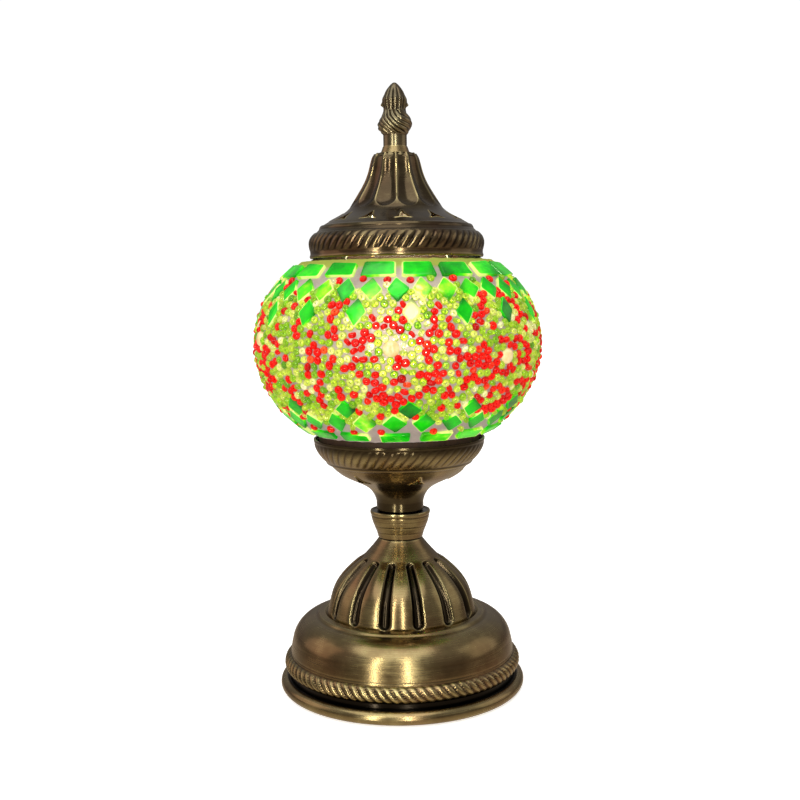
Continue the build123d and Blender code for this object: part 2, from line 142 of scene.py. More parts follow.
def side_of(node, count, reach):
    """Evenly stepped (radius, height) points up the outside of a turned CAD node."""
    low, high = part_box(node)
    inset = 0.001 * MM  # keeps the levels off the node's flat ends
    heights = np.linspace(low.z + inset, high.z - inset, 900)
    outline = np.stack([outer_radius(node, heights), heights], 1)
    return softened(even_steps(outline, count), reach)


def solids_of(node):
    """The points of each separate solid in a CAD node."""
    points, edges = cad_mesh(node)
    places, index = np.unique(np.round(points / (0.001 * MM)), axis=0, return_inverse=True)
    index = index.reshape(-1)
    a, b = index[edges[:, 0]], index[edges[:, 1]]
    label = np.arange(len(places))
    while True:
        lowest = label.copy()
        np.minimum.at(lowest, a, label[b])
        np.minimum.at(lowest, b, label[a])
        if (lowest == label).all():
            break
        label = lowest
    places = places * 0.001 * MM
    return [places[label == value] for value in np.unique(label)]


# ---- making meshes --------------------------------------------------------------------------------------
def new_object(name, data):
    """An object in the scene that shows a mesh, a light or a camera."""
    item = bpy.data.objects.new(name, data)
    bpy.context.scene.collection.objects.link(item)
    return item


def new_mesh(name, points, faces):
    """A mesh of those points, with faces as an array or as lists of different lengths."""
    mesh = bpy.data.meshes.new(name)
    faces = faces.tolist() if isinstance(faces, np.ndarray) else faces
    mesh.from_pydata(np.asarray(points).reshape(-1, 3).tolist(), [], faces)
    return mesh


def mesh_object(name, points, faces, material, sharp=SHARP_EDGE):
    """A smooth-shaded mesh object whose edges over that many degrees stay sharp."""
    mesh = new_mesh(name, points, faces)
    mesh.polygons.foreach_set("use_smooth", [True] * len(mesh.polygons))
    mesh.set_sharp_from_angle(angle=math.radians(sharp))
    mesh.materials.append(material)
    return new_object(name, mesh)


def give(piece, name, values):
    """Stores one number for each point of a mesh, for its material to read."""
    attribute = piece.data.attributes.new(name, "FLOAT", "POINT")
    attribute.data.foreach_set("value", np.asarray(values, np.float32).ravel())


def give_edges(piece):
    """Stores how far each point stands out from its neighbours: above 0 on edges and below 0 in hollows."""
    mesh = piece.data
    count = len(mesh.vertices)
    points, normals = np.empty(3 * count), np.empty(3 * count)
    mesh.vertices.foreach_get("co", points)
    mesh.vertices.foreach_get("normal", normals)
    points, normals = points.reshape(-1, 3), normals.reshape(-1, 3)
    ends = np.empty(2 * len(mesh.edges), int)
    mesh.edges.foreach_get("vertices", ends)
    start, end = ends.reshape(-1, 2).T
    step = points[end] - points[start]
    step /= np.maximum(np.linalg.norm(step, axis=1), 1e-9)[:, None]
    drop = np.bincount(end, (step * normals[end]).sum(1), count)
    drop -= np.bincount(start, (step * normals[start]).sum(1), count)
    ways = np.bincount(start, minlength=count) + np.bincount(end, minlength=count)
    stand = np.arcsin(np.clip(drop / np.maximum(ways, 1), -1, 1)) / math.pi
    around = np.bincount(start, stand[end], count) + np.bincount(end, stand[start], count)
    give(piece, "edge", (stand + around) / (ways + 1))


def finish_piece(piece, body, slot, *nodes):
    """Puts a piece on its body and hides the CAD nodes that it stands for. The slot is not used."""
    if piece.data.materials[0] in (BRASS, CAP_BRASS, FINIAL_BRASS):
        give_edges(piece)
    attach(piece, body)
    if nodes:
        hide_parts(*nodes)
    return piece


def ring_faces(rows, columns, closed=False):
    """Quads of a grid of points that runs all the way round, row by row."""
    row = np.arange(rows if closed else rows - 1)[:, None]
    column = np.arange(columns)[None, :]
    following, beside = (row + 1) % rows, (column + 1) % columns
    ring, next_ring = row * columns, following * columns
    corners = [ring + column, ring + beside, next_ring + beside, next_ring + column]
    return np.stack([np.broadcast_to(c, (len(row), columns)) for c in corners], -1).reshape(-1, 4)


def azimuths(columns=LATHE_COLUMNS):
    return (np.arange(columns) * TURN / columns)[None, :]


def round_axis(radius, height):
    """A grid of points at those radii and heights, with one column for each equal step round the axis."""
    azimuth = azimuths(radius.shape[1])
    return np.stack([radius * np.sin(azimuth), -radius * np.cos(azimuth), height + 0 * radius], -1)


def normals_of(outline):
    """Unit normals of an outline that runs upward, pointing away from the axis."""
    tangent = np.gradient(outline, axis=0)
    tangent /= np.hypot(tangent[:, 0], tangent[:, 1])[:, None]
    return np.stack([tangent[:, 1], -tangent[:, 0]], 1)


def arc(centre, radii, start, end, count):
    """Points on an ellipse's arc in the outline plane, with angles in degrees."""
    angle = np.radians(np.linspace(start, end, count))
    return np.stack([centre[0] + radii[0] * np.cos(angle), centre[1] + radii[1] * np.sin(angle)], 1)


def spin(outline, relief=None, columns=LATHE_COLUMNS):
    """The grid of points of an outline turned round the axis, pushed out along its normals by a relief."""
    push = np.zeros((len(outline), columns)) if relief is None else relief
    normal = normals_of(outline)
    return round_axis(outline[:, :1] + normal[:, :1] * push, outline[:, 1:] + normal[:, 1:] * push)


def shell(name, side, relief, material, paint, top=None, rub_and_glint=None):
    """A pressed sheet shell with the same relief inside. top turns its upper edge in to that radius."""
    rub_and_glint = np.zeros_like(relief) if rub_and_glint is None else rub_and_glint
    if top is not None:
        rows = 7
        flange = np.stack([np.linspace(side[-1, 0], top, rows + 1)[1:], np.full(rows, side[-1, 1])], 1)
        side = np.concatenate([side, flange])
        plain = np.zeros((rows, LATHE_COLUMNS))
        relief, paint, rub_and_glint = [np.concatenate([values, plain]) for values in (relief, paint, rub_and_glint)]
    inside = side - normals_of(side) * SHEET
    piece = turned_ring(name, np.concatenate([spin(side, relief), spin(inside, relief)[::-1]]), material)
    give(piece, "patina_and_shade", np.concatenate([paint, paint[::-1]]))
    give(piece, "rubbed_and_glint", np.concatenate([rub_and_glint, rub_and_glint[::-1]]))
    return piece


def solid_of_revolution(name, outline, relief, material, paint=0.0):
    """A closed solid turned from an outline that starts and ends on or near the axis."""
    rows, columns = relief.shape
    middles = [[0, 0, outline[0, 1]], [0, 0, outline[-1, 1]]]
    points = np.concatenate([spin(outline, relief, columns).reshape(-1, 3), middles])
    faces = ring_faces(rows, columns).tolist()
    column = range(columns)
    beside = [(j + 1) % columns for j in column]
    last = (rows - 1) * columns
    faces += [[rows * columns, b, a] for a, b in zip(column, beside)]
    faces += [[rows * columns + 1, last + a, last + b] for a, b in zip(column, beside)]
    piece = mesh_object(name, points, faces, material)
    give(piece, "patina_and_shade", np.append(paint + 0 * relief, [0, 0]))
    return piece


def smooth_step(value):
    """Rises smoothly from 0 to 1 as the value does, and stays there on both sides."""
    value = np.clip(value, 0, 1)
    return value * value * (3 - 2 * value)


def hump(value, middle, width):
    """1 in the middle, falling to about a third at that width to either side."""
    return np.exp(-((value - middle) / width) ** 2)


def steps_along(side):
    """The distance along an outline from its start to each of its points."""
    return np.concatenate([[0], np.cumsum(np.hypot(*np.diff(side, axis=0).T))])[:, None]


def rope(height, low, high, strands, lean, depth):
    """Twisted strands round a ring: rounded ridges and narrow valleys that fade out at both edges."""
    across = np.clip((height - low) / (high - low), 0, 1)
    phase = strands * azimuths() / TURN + lean * across
    ridge = np.abs(np.sin(math.pi * phase)) ** 0.7
    return depth * (ridge - 0.55) * np.sin(math.pi * across) ** 0.5


def turned_ring(name, grid, material):
    """A solid ring whose section is closed: the last row of the grid joins the first."""
    return mesh_object(name, grid, ring_faces(len(grid), grid.shape[1], closed=True), material)


def vent_frames(count, first, radius, height, tilt):
    """Where each vent in a ring lies: its middle, and the directions across, up and out of its face."""
    lean = math.radians(90 - tilt)
    for i in range(count):
        turn = math.radians(first + 360 / count * i)
        across = np.array([math.cos(turn), math.sin(turn), 0])
        front = np.array([math.sin(turn), -math.cos(turn), 0])
        up = np.array([0, 0, math.sin(lean)]) - front * math.cos(lean)
        yield (front * radius + np.array([0, 0, height])) * MM, across, up, np.cross(across, up)


def pierce(piece, vents):
    """Cuts a ring of three-pointed vents through a shell."""
    corners = len(VENT_OUTLINE)
    reach = 2.5 * MM
    ring = list(range(corners))
    points, faces = [], []
    for middle, across, up, out in vent_frames(*vents):
        base = len(points)
        for depth in (-reach, reach):
            points += [middle + across * x + up * y + out * depth for x, y in np.array(VENT_OUTLINE) * MM]
        faces.append([base + j for j in reversed(ring)])
        faces.append([base + corners + j for j in ring])
        for j in ring:
            k = (j + 1) % corners
            faces.append([base + j, base + k, base + corners + k, base + corners + j])
    cut_with(piece, points, faces)


def vent_edges(side, vents):
    """How near each place on a shell is to the edge of a vent: 1 there, and fading over half a millimetre."""
    outline = np.array(VENT_OUTLINE) * MM
    place = spin(side)
    far = 1.0
    nearest = np.full(place.shape[:2], far)
    for middle, across, up, out in vent_frames(*vents):
        local = place - middle
        flat = np.stack([local @ across, local @ up], -1)
        flat[(local @ out) < -3 * MM] = far
        for start, end in zip(outline, np.roll(outline, -1, axis=0)):
            edge = end - start
            share = np.clip((flat - start) @ edge / (edge @ edge), 0, 1)
            nearest = np.minimum(nearest, np.linalg.norm(flat - start - share[..., None] * edge, axis=-1))
    return np.exp(-(nearest / (0.42 * MM)) ** 2)


def cut_with(piece, points, faces):
    """Cuts the solid with these points and faces out of a piece."""
    cutter = new_object("cutter", new_mesh("cutter", points, faces))
    cut = piece.modifiers.new("cut", "BOOLEAN")
    cut.operation = "DIFFERENCE"
    cut.solver = "MANIFOLD"
    cut.object = cutter
    result = bpy.data.meshes.new_from_object(piece.evaluated_get(bpy.context.evaluated_depsgraph_get()))
    piece.modifiers.clear()
    piece.data = result
    result.set_sharp_from_angle(angle=math.radians(SHARP_EDGE))
    bpy.data.objects.remove(cutter)


# ---- materials ------------------------------------------------------------------------------------------
def fill(tree, node, inputs):
    """Gives a node's sockets their values, or joins them to other nodes' outputs."""
    for name, value in inputs.items():
        if isinstance(value, bpy.types.NodeSocket):
            tree.links.new(value, node.inputs[name])
        else:
            node.inputs[name].default_value = value


def feed(shader, **sources):
    """Joins other nodes' outputs to a shader's sockets. Underscores in the names stand for spaces."""
    for name, source in sources.items():
        shader.id_data.links.new(source, shader.inputs[name.replace("_", " ")])


def put(tree, kind, inputs=None, **settings):
    """Adds a node. An input's value is a constant or another node's output."""
    node = tree.nodes.new("ShaderNode" + kind)
    for name, value in settings.items():
        setattr(node, name, value)
    fill(tree, node, inputs or {})
    return node


def blank(name, **constants):
    """A new material, with constants on its shader's sockets. Underscores in their names stand for spaces."""
    material = bpy.data.materials.new(name)
    material.use_nodes = True
    shader = material.node_tree.nodes["Principled BSDF"]
    for key, value in constants.items():
        shader.inputs[key.replace("_", " ")].default_value = value
    return material, material.node_tree, shader


def rgb(red, green, blue):
    return (red, green, blue, 1.0)


def ramp(tree, factor, *stops):
    """A colour ramp through (position, colour) stops."""
    node = put(tree, "ValToRGB", {"Fac": factor})
    elements = node.color_ramp.elements
    while len(elements) < len(stops):
        elements.new(1.0)
    for element, (position, colour) in zip(elements, stops):
        element.position = position
        element.color = colour
    return node.outputs["Color"]


def blend_colours(tree, factor, a, b):
    """The first colour, turning into the second as the factor rises."""
    node = tree.nodes.new("ShaderNodeMix")
    node.data_type = "RGBA"  # its factor is socket 0 and its colours are sockets 6, 7 and 2
    fill(tree, node, {0: factor, 6: a, 7: b})
    return node.outputs[2]


def total(tree, a, b):
    return put(tree, "Math", {0: a, 1: b}, operation="ADD").outputs[0]


def scaled(tree, value, low, high, new_low, new_high):
    """A value mapped from one range to another, and held inside it."""
    limits = {"From Min": low, "From Max": high, "To Min": new_low, "To Max": new_high}
    return put(tree, "MapRange", {"Value": value, **limits}).outputs[0]


def place_of(tree):
    return put(tree, "TexCoord").outputs["Object"]


def noise(tree, vector, scale, detail=3.0, roughness=0.5):
    inputs = {"Vector": vector, "Scale": scale, "Detail": detail, "Roughness": roughness}
    return put(tree, "TexNoise", inputs).outputs[0]


def stored(tree, name):
    return put(tree, "Attribute", attribute_name=name).outputs["Fac"]


def bump(tree, shader, height, distance, strength):
    inputs = {"Height": height, "Distance": distance, "Strength": strength}
    feed(shader, Normal=put(tree, "Bump", inputs).outputs[0])


def turning_lines(tree, place, scale):
    """Fine rings round the axis, as a lathe tool or a polishing wheel leaves them."""
    parts = put(tree, "SeparateXYZ", {"Vector": place})
    flat = put(tree, "CombineXYZ", {"X": parts.outputs["X"], "Y": parts.outputs["Y"]})
    radius = put(tree, "VectorMath", {0: flat.outputs[0]}, operation="LENGTH").outputs["Value"]
    drift = put(tree, "Math", {0: parts.outputs["X"], 1: 0.03}, operation="MULTIPLY").outputs[0]
    rings = put(tree, "CombineXYZ", {"X": radius, "Y": parts.outputs["Z"], "Z": drift})
    return noise(tree, rings.outputs[0], scale, detail=4.0, roughness=0.65)


def antique_brass(name, dark, mid, bright, contrast, shine):
    """Brass with a brown patination in its hollows, worn bright on its edges, and painted shade and glints
    where pieces store them.
    """
    material, tree, shader = blank(name, Metallic=1.0, Anisotropic=0.45, Anisotropic_Rotation=0.25)
    place = place_of(tree)
    lines = turning_lines(tree, place, 2600.0)
    clouds = noise(tree, place, 70.0, detail=4.0, roughness=0.6)
    edges = scaled(tree, stored(tree, "edge"), -contrast, contrast, -0.4, 0.4)
    wear = total(tree, edges, scaled(tree, clouds, 0.3, 0.7, 0.38, 0.62))
    wear = total(tree, wear, scaled(tree, lines, 0.3, 0.7, -0.05, 0.05))
    colour = ramp(tree, wear, (0.12, dark), (0.48, mid), (0.85, bright))
    tarnish = scaled(tree, noise(tree, place, 38.0, detail=2.0), 0.50, 0.70, 0.0, 0.40)
    colour = blend_colours(tree, tarnish, colour, rgb(0.24, 0.105, 0.06))
    # Near-black: patination in the grooves and, where a piece stores it, painted shade in recesses, seams and
    # under ledges.
    colour = blend_colours(tree, stored(tree, "patina_and_shade"), colour, rgb(0.016, 0.013, 0.010))
    # Bright gold: worn brass, with painted glints on the vent edges and painted highlights on the cap's flute
    # ridges.
    colour = blend_colours(tree, stored(tree, "rubbed_and_glint"), colour, rgb(0.78, 0.64, 0.30))
    feed(shader, Base_Color=colour)
    rough = scaled(tree, total(tree, lines, clouds), 0.6, 1.4, shine - 0.06, shine + 0.10)
    smooth = put(tree, "Math", {0: stored(tree, "patina_and_shade"), 1: -0.07}, operation="MULTIPLY").outputs[0]
    feed(shader, Roughness=total(tree, rough, smooth))
    bump(tree, shader, lines, 0.05 * MM, 0.22)
    return material


def rubber(name, low, high):
    material, tree, shader = blank(name, Specular_IOR_Level=0.35)
    grain = noise(tree, place_of(tree), 900.0)
    feed(shader, Base_Color=ramp(tree, grain, (0.3, low), (0.7, high)))
    feed(shader, Roughness=scaled(tree, grain, 0.3, 0.7, 0.55, 0.8))
    bump(tree, shader, grain, 0.05 * MM, 0.5)
    return material


def plain_metal(name, low, high, shine):
    """A machined or plated metal with fine turning lines."""
    material, tree, shader = blank(name, Metallic=1.0)
    place = place_of(tree)
    lines = turning_lines(tree, place, 3200.0)
    clouds = noise(tree, place, 160.0)
    feed(shader, Base_Color=ramp(tree, clouds, (0.3, low), (0.7, high)))
    feed(shader, Roughness=scaled(tree, lines, 0.3, 0.7, shine - 0.06, shine + 0.1))
    bump(tree, shader, lines, 0.03 * MM, 0.4)
    return material


def phenolic():
    material, tree, shader = blank("black_phenolic")
    place = place_of(tree)
    specks = noise(tree, place, 1400.0, detail=5.0)
    brown, black = rgb(0.035, 0.028, 0.022), rgb(0.012, 0.011, 0.010)
    feed(shader, Base_Color=ramp(tree, specks, (0.35, black), (0.75, brown)))
    feed(shader, Roughness=scaled(tree, noise(tree, place, 200.0), 0.3, 0.7, 0.28, 0.42))
    bump(tree, shader, specks, 0.02 * MM, 0.3)
    return material


def felt():
    material, tree, shader = blank("felt", Roughness=0.95, Sheen_Weight=0.4, Sheen_Roughness=0.5)
    place = place_of(tree)
    fibres = noise(tree, place, 2200.0, detail=6.0, roughness=0.7)
    patches = noise(tree, place, 90.0)
    colour = ramp(tree, fibres, (0.3, rgb(0.006, 0.008, 0.007)), (0.7, rgb(0.03, 0.034, 0.03)))
    colour = blend_colours(tree, patches, colour, rgb(0.015, 0.02, 0.016))
    feed(shader, Base_Color=colour)
    bump(tree, shader, fibres, 0.25 * MM, 0.8)
    return material


def clear_glass():
    material, tree, shader = blank("clear_glass", Transmission_Weight=1.0, IOR=1.47)
    place = place_of(tree)
    ripple = noise(tree, place, 45.0, detail=2.0)
    feed(shader, Base_Color=ramp(tree, ripple, (0.3, rgb(0.93, 0.98, 0.94)), (0.7, rgb(0.97, 0.99, 0.97))))
    feed(shader, Roughness=scaled(tree, ripple, 0.3, 0.7, 0.02, 0.06))
    bump(tree, shader, ripple, 0.4 * MM, 0.2)
    return material


def glowing_bulb():
    """Frosted glass, lit from inside and brighter round its middle."""
    material, tree, shader = blank("frosted_bulb", Roughness=0.4, Emission_Strength=8.5)
    place = place_of(tree)
    frost = noise(tree, place, 900.0)
    feed(shader, Base_Color=ramp(tree, frost, (0.3, rgb(0.9, 0.86, 0.78)), (0.7, rgb(0.95, 0.92, 0.86))))
    height = put(tree, "SeparateXYZ", {"Vector": place}).outputs["Z"]
    low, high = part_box("bulb_glass")
    share = scaled(tree, height, low.z, high.z, 0.0, 1.0)
    glow = (
        (0.0, rgb(0.8, 0.5, 0.2)), (0.35, rgb(1.0, 0.88, 0.66)),
        (0.6, rgb(1.0, 0.95, 0.84)), (1.0, rgb(0.95, 0.82, 0.6)),
    )
    feed(shader, Emission_Color=ramp(tree, share, *glow))
    bump(tree, shader, frost, 0.02 * MM, 0.4)
    return material


def filament():
    material, tree, shader = blank("filament", Emission_Strength=14.0, Roughness=0.5)
    coat = noise(tree, place_of(tree), 1500.0)
    feed(shader, Base_Color=ramp(tree, coat, (0.3, rgb(0.8, 0.55, 0.1)), (0.7, rgb(0.9, 0.7, 0.2))))
    feed(shader, Emission_Color=ramp(tree, coat, (0.3, rgb(1.0, 0.75, 0.4)), (0.7, rgb(1.0, 0.9, 0.6))))
    return material


def grout_plaster():
    """Pale pinkish grout with a fine grain, a painted glow for the lamp's light and a painted yellow-green
    reflection on top.
    """
    settings = {"Roughness": 0.7, "Transmission_Weight": 0.45, "IOR": 1.15}
    material, tree, shader = blank("grout", Emission_Strength=0.20, **settings)
    place = place_of(tree)
    grain = noise(tree, place, 1300.0, detail=5.0, roughness=0.6)
    clouds = noise(tree, place, 120.0, detail=3.0)
    colour = ramp(tree, clouds, (0.3, rgb(0.30, 0.24, 0.225)), (0.7, rgb(0.40, 0.34, 0.32)))
    colour = blend_colours(tree, scaled(tree, grain, 0.4, 0.7, 0.0, 0.4), colour, rgb(0.46, 0.41, 0.38))
    height = put(tree, "SeparateXYZ", {"Vector": place}).outputs["Z"]
    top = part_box("grout_layer")[1].z
    # Painted reflection: a yellow-green band along the grout's top edge, under the cap.
    painted_rim_reflection = scaled(tree, height, top - 2.2 * MM, top - 0.6 * MM, 0.0, 0.9)
    colour = blend_colours(tree, painted_rim_reflection, colour, rgb(0.36, 0.42, 0.06))
    feed(shader, Base_Color=colour)
    # Painted glow: the emission stands in for the lamp's light through the grout.
    glow = ramp(tree, clouds, (0.3, rgb(0.66, 0.54, 0.50)), (0.7, rgb(0.82, 0.72, 0.68)))
    glow = blend_colours(tree, painted_rim_reflection, glow, rgb(0.42, 0.46, 0.04))
    feed(shader, Emission_Color=glow)
    bump(tree, shader, grain, 0.12 * MM, 0.6)
    return material


def coloured_glass(name, stops, glow, transmission, ripple_scale, shade_colour):
    """Cast glass with a painted glow for the lamp's light from behind. A stored tint picks its colour, and a
    stored painted shade darkens it.
    """
    settings = {"IOR": 1.5, "Specular_IOR_Level": 0.25}
    material, tree, shader = blank(name, Transmission_Weight=transmission, Emission_Strength=glow, **settings)
    place = place_of(tree)
    tint, shade = stored(tree, "tint"), stored(tree, "shade")
    ripple = noise(tree, place, ripple_scale, detail=3.0, roughness=0.55)
    colour = ramp(tree, total(tree, tint, scaled(tree, ripple, 0.3, 0.7, -0.16, 0.16)), *stops)
    dark = blend_colours(tree, shade, colour, shade_colour)
    # The shaded colour is also the emission, a painted glow standing in for the lamp's light through the
    # glass.
    feed(shader, Base_Color=dark, Emission_Color=dark)
    feed(shader, Roughness=scaled(tree, ripple, 0.3, 0.7, 0.06, 0.16))
    bump(tree, shader, ripple, 0.25 * MM, 0.35)
    return material


def pearl():
    coat = {"Coat_Weight": 0.5, "Coat_Roughness": 0.08}
    material, tree, shader = blank("cream_beads", Roughness=0.22, Emission_Strength=0.30, **coat)
    place = place_of(tree)
    veins = noise(tree, place, 420.0, detail=5.0, roughness=0.6)
    feed(shader, Base_Color=ramp(tree, veins, (0.35, rgb(0.62, 0.44, 0.17)), (0.65, rgb(0.78, 0.66, 0.34))))
    # Painted glow: the emission stands in for the lamp's light through the beads.
    glow = ramp(tree, veins, (0.35, rgb(0.95, 0.72, 0.34)), (0.65, rgb(1.0, 0.88, 0.58)))
    feed(shader, Emission_Color=glow)
    bump(tree, shader, veins, 0.05 * MM, 0.3)
    return material


BRASS = antique_brass(
    "antique_brass",
    rgb(0.045, 0.030, 0.016), rgb(0.215, 0.158, 0.074), rgb(0.50, 0.42, 0.20), contrast=0.055, shine=0.23,
)
CAP_BRASS = antique_brass(
    "antique_brass_cap",
    rgb(0.036, 0.024, 0.014), rgb(0.14, 0.098, 0.052), rgb(0.42, 0.34, 0.17), contrast=0.06, shine=0.19,
)
FINIAL_BRASS = antique_brass(
    "antique_brass_finial",
    rgb(0.030, 0.024, 0.016), rgb(0.13, 0.108, 0.066), rgb(0.44, 0.39, 0.22), contrast=0.06, shine=0.25,
)
FELT = felt()
RUBBER = rubber("black_rubber", rgb(0.012, 0.012, 0.012), rgb(0.03, 0.029, 0.028))
BROWN_RUBBER = rubber("brown_rubber", rgb(0.030, 0.014, 0.008), rgb(0.060, 0.030, 0.018))
ZINC = plain_metal("zinc_steel", rgb(0.46, 0.46, 0.44), rgb(0.62, 0.61, 0.56), 0.3)
SOCKET_BRASS = plain_metal("socket_brass", rgb(0.58, 0.42, 0.16), rgb(0.72, 0.55, 0.25), 0.25)
SOLDER = plain_metal("solder", rgb(0.40, 0.40, 0.40), rgb(0.58, 0.58, 0.57), 0.35)
BULB_METAL = plain_metal("bulb_metal", rgb(0.55, 0.54, 0.50), rgb(0.70, 0.69, 0.66), 0.22)
PHENOLIC = phenolic()
CLEAR_GLASS = clear_glass()
BULB_GLASS = glowing_bulb()
FILAMENT = filament()
GROUT = grout_plaster()
GREEN_GLASS = coloured_glass(
    "green_tiles",
    (
        (0.0, rgb(0.0, 0.10, 0.005)), (0.3, rgb(0.0, 0.30, 0.004)), (0.58, rgb(0.003, 0.54, 0.005)),
        (0.78, rgb(0.06, 0.66, 0.008)), (0.9, rgb(0.30, 0.74, 0.015)), (1.0, rgb(0.72, 0.82, 0.25)),
    ),
    0.50, 0.5, 190.0, rgb(0.0, 0.03, 0.004),
)
RED_GLASS = coloured_glass(
    "red_beads",
    (
        (0.0, rgb(0.42, 0.0, 0.0)), (0.4, rgb(0.78, 0.002, 0.001)),
        (0.8, rgb(0.88, 0.008, 0.002)), (1.0, rgb(0.90, 0.10, 0.02)),
    ),
    0.42, 0.30, 900.0, rgb(0.16, 0.0, 0.0),
)
LIME_GLASS = coloured_glass(
    "lime_beads",
    (
        (0.0, rgb(0.10, 0.34, 0.01)), (0.35, rgb(0.32, 0.60, 0.015)), (0.6, rgb(0.60, 0.76, 0.05)),
        (0.8, rgb(0.86, 0.88, 0.26)), (1.0, rgb(0.97, 0.95, 0.62)),
    ),
    0.36, 0.72, 900.0, rgb(0.09, 0.20, 0.0),
)
PEARL = pearl()


# ---- the foot and the stand -----------------------------------------------------------------------------
def make_felt_pad():
    """The felt disc, a little uneven round its edge."""
    low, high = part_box("felt_pad")
    edge = 0.3 * MM
    outline = np.concatenate([
        [[high.x * 0.5, low.z], [high.x - edge, low.z]],
        arc((high.x - edge, low.z + edge), (edge, edge), -60, 0, 4),
        arc((high.x - edge, high.z - edge), (edge, edge), 0, 60, 4),
        [[high.x - edge, high.z], [high.x * 0.5, high.z]],
    ])
    ragged = np.sin(azimuths() * 37) * 0.05 * MM + np.sin(azimuths() * 91 + 1) * 0.04 * MM
    share = np.zeros((len(outline), 1))
    share[1:-1] = 1
    pad = solid_of_revolution("felt_underside", outline, -np.abs(ragged) * share, FELT)
    finish_piece(pad, "stand", "felt", "felt_pad")


def make_foot_ring():
    """The rolled bead round the foot and the blackened channel behind it."""
    low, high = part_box("foot_ring")
    bead = (high.z - low.z) / 2
    centre = (high.x - bead, low.z + bead)
    bell = outer_radius("base_bell", np.array([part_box("base_bell")[0].z + 0.4 * MM]))[0]
    floor = high.z - 1.6 * MM
    outline = np.concatenate([
        arc(centre, (bead, bead), -90, 122, 44),
        [[bell + 0.25 * MM, floor], [bell - 0.2 * MM, floor], [bell - 0.4 * MM, high.z - 0.15 * MM]],
        [[bell - 5 * MM, high.z - 0.15 * MM], [bell - 5 * MM, high.z - 1.0 * MM]],
        [[bell - 1.2 * MM, high.z - 1.0 * MM], [bell - 1.2 * MM, low.z + 1.8 * MM]],
        [[bell - 7 * MM, low.z + 1.8 * MM], [bell - 7 * MM, low.z + 0.75 * MM]],
    ])
    piece = turned_ring("foot_bead", spin(outline), BRASS)
    black = smooth_step((bell + 1.9 * MM - outline[:, 0]) / (0.5 * MM)) * (outline[:, 1] > floor - 0.1 * MM)
    give(piece, "patina_and_shade", np.broadcast_to(black[:, None], (len(outline), LATHE_COLUMNS)))
    finish_piece(piece, "stand", "antique_brass", "foot_ring")


def make_bell():
    """The broad bell: a blackened foot, a rope ring, a smooth shoulder and a small raised ring on top."""
    side = side_of("base_bell", 230, 0.22 * MM)
    crest = side[side[:, 0].argmax(), 1]
    radius, height = side[:, :1], side[:, 1:]
    twist = rope(height, crest - 3.2 * MM, crest + 3.3 * MM, FOOT_STRANDS, 1.5, 0.95 * MM)
    seat = smooth_step((radius - 31 * MM) / (1.6 * MM)) * smooth_step((36.4 * MM - radius) / (1.8 * MM))
    ring = 0.55 * MM * seat * (height > 28 * MM)
    line = 0.10 * MM * hump(height, crest + 4.4 * MM, 0.3 * MM)
    black = smooth_step((crest - 2.6 * MM - height) / (0.8 * MM))
    valley = smooth_step(-(twist + 0.12 * MM) / (0.3 * MM)) * 0.85
    relief = twist + ring - line
    piece = shell("base_bell_shell", side, relief, BRASS, np.maximum(black, valley), top=27.0 * MM)
    drill_inlet(piece)
    finish_piece(piece, "stand", "antique_brass", "base_bell")


def drill_inlet(piece):
    """The round hole at the back of the bell that the grommet sits in."""
    low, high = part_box("cord_grommet")
    middle = (low.z + high.z) / 2
    radius = (high.x - low.x) / 2 - 0.8 * MM
    count = 48
    points = []
    for y in (low.y - 6 * MM, high.y + 6 * MM):
        for angle in np.arange(count) * TURN / count:
            points.append([radius * math.cos(angle), y, middle + radius * math.sin(angle)])
    faces = [[j, (j + 1) % count, count + (j + 1) % count, count + j] for j in range(count)]
    faces += [list(range(count))[::-1], list(range(count, 2 * count))]
    cut_with(piece, points, faces)


def make_dome():
    """The ribbed dome: deep blackened grooves with rounded ends between broad swelling ribs."""
    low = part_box("base_dome")[0]
    side = side_of("base_dome", 210, 0.3 * MM)
    radius = side[:, :1]
    steps = steps_along(side)
    foot, head = np.interp([low.z + 3.2 * MM, low.z + 23.4 * MM], side[:, 1], steps[:, 0])
    pitch = TURN / DOME_GROOVES
    place = (azimuths() / pitch) % 1.0 - 0.5  # 0 in the middle of a groove, halves in the middle of a rib
    width = np.interp(steps, [foot, head], [2.75 * MM, 2.1 * MM])
    past = np.maximum(np.maximum(foot - steps, steps - head), 0)
    distance = np.hypot(np.abs(place) * pitch * radius, past)
    groove = smooth_step((width - distance) / (1.7 * MM))
    fade = smooth_step((head + 2.5 * MM - steps) / (5 * MM)) * smooth_step(steps / (2 * MM))
    rib = 0.75 * MM * np.sin(math.pi * np.abs(place)) * fade
    black = 0.88 * smooth_step((width + 0.45 * MM - distance) / (1.2 * MM))
    piece = shell("base_dome_shell", side, rib - 1.5 * MM * groove, BRASS, black, top=5.1 * MM)
    finish_piece(piece, "stand", "antique_brass", "base_dome")


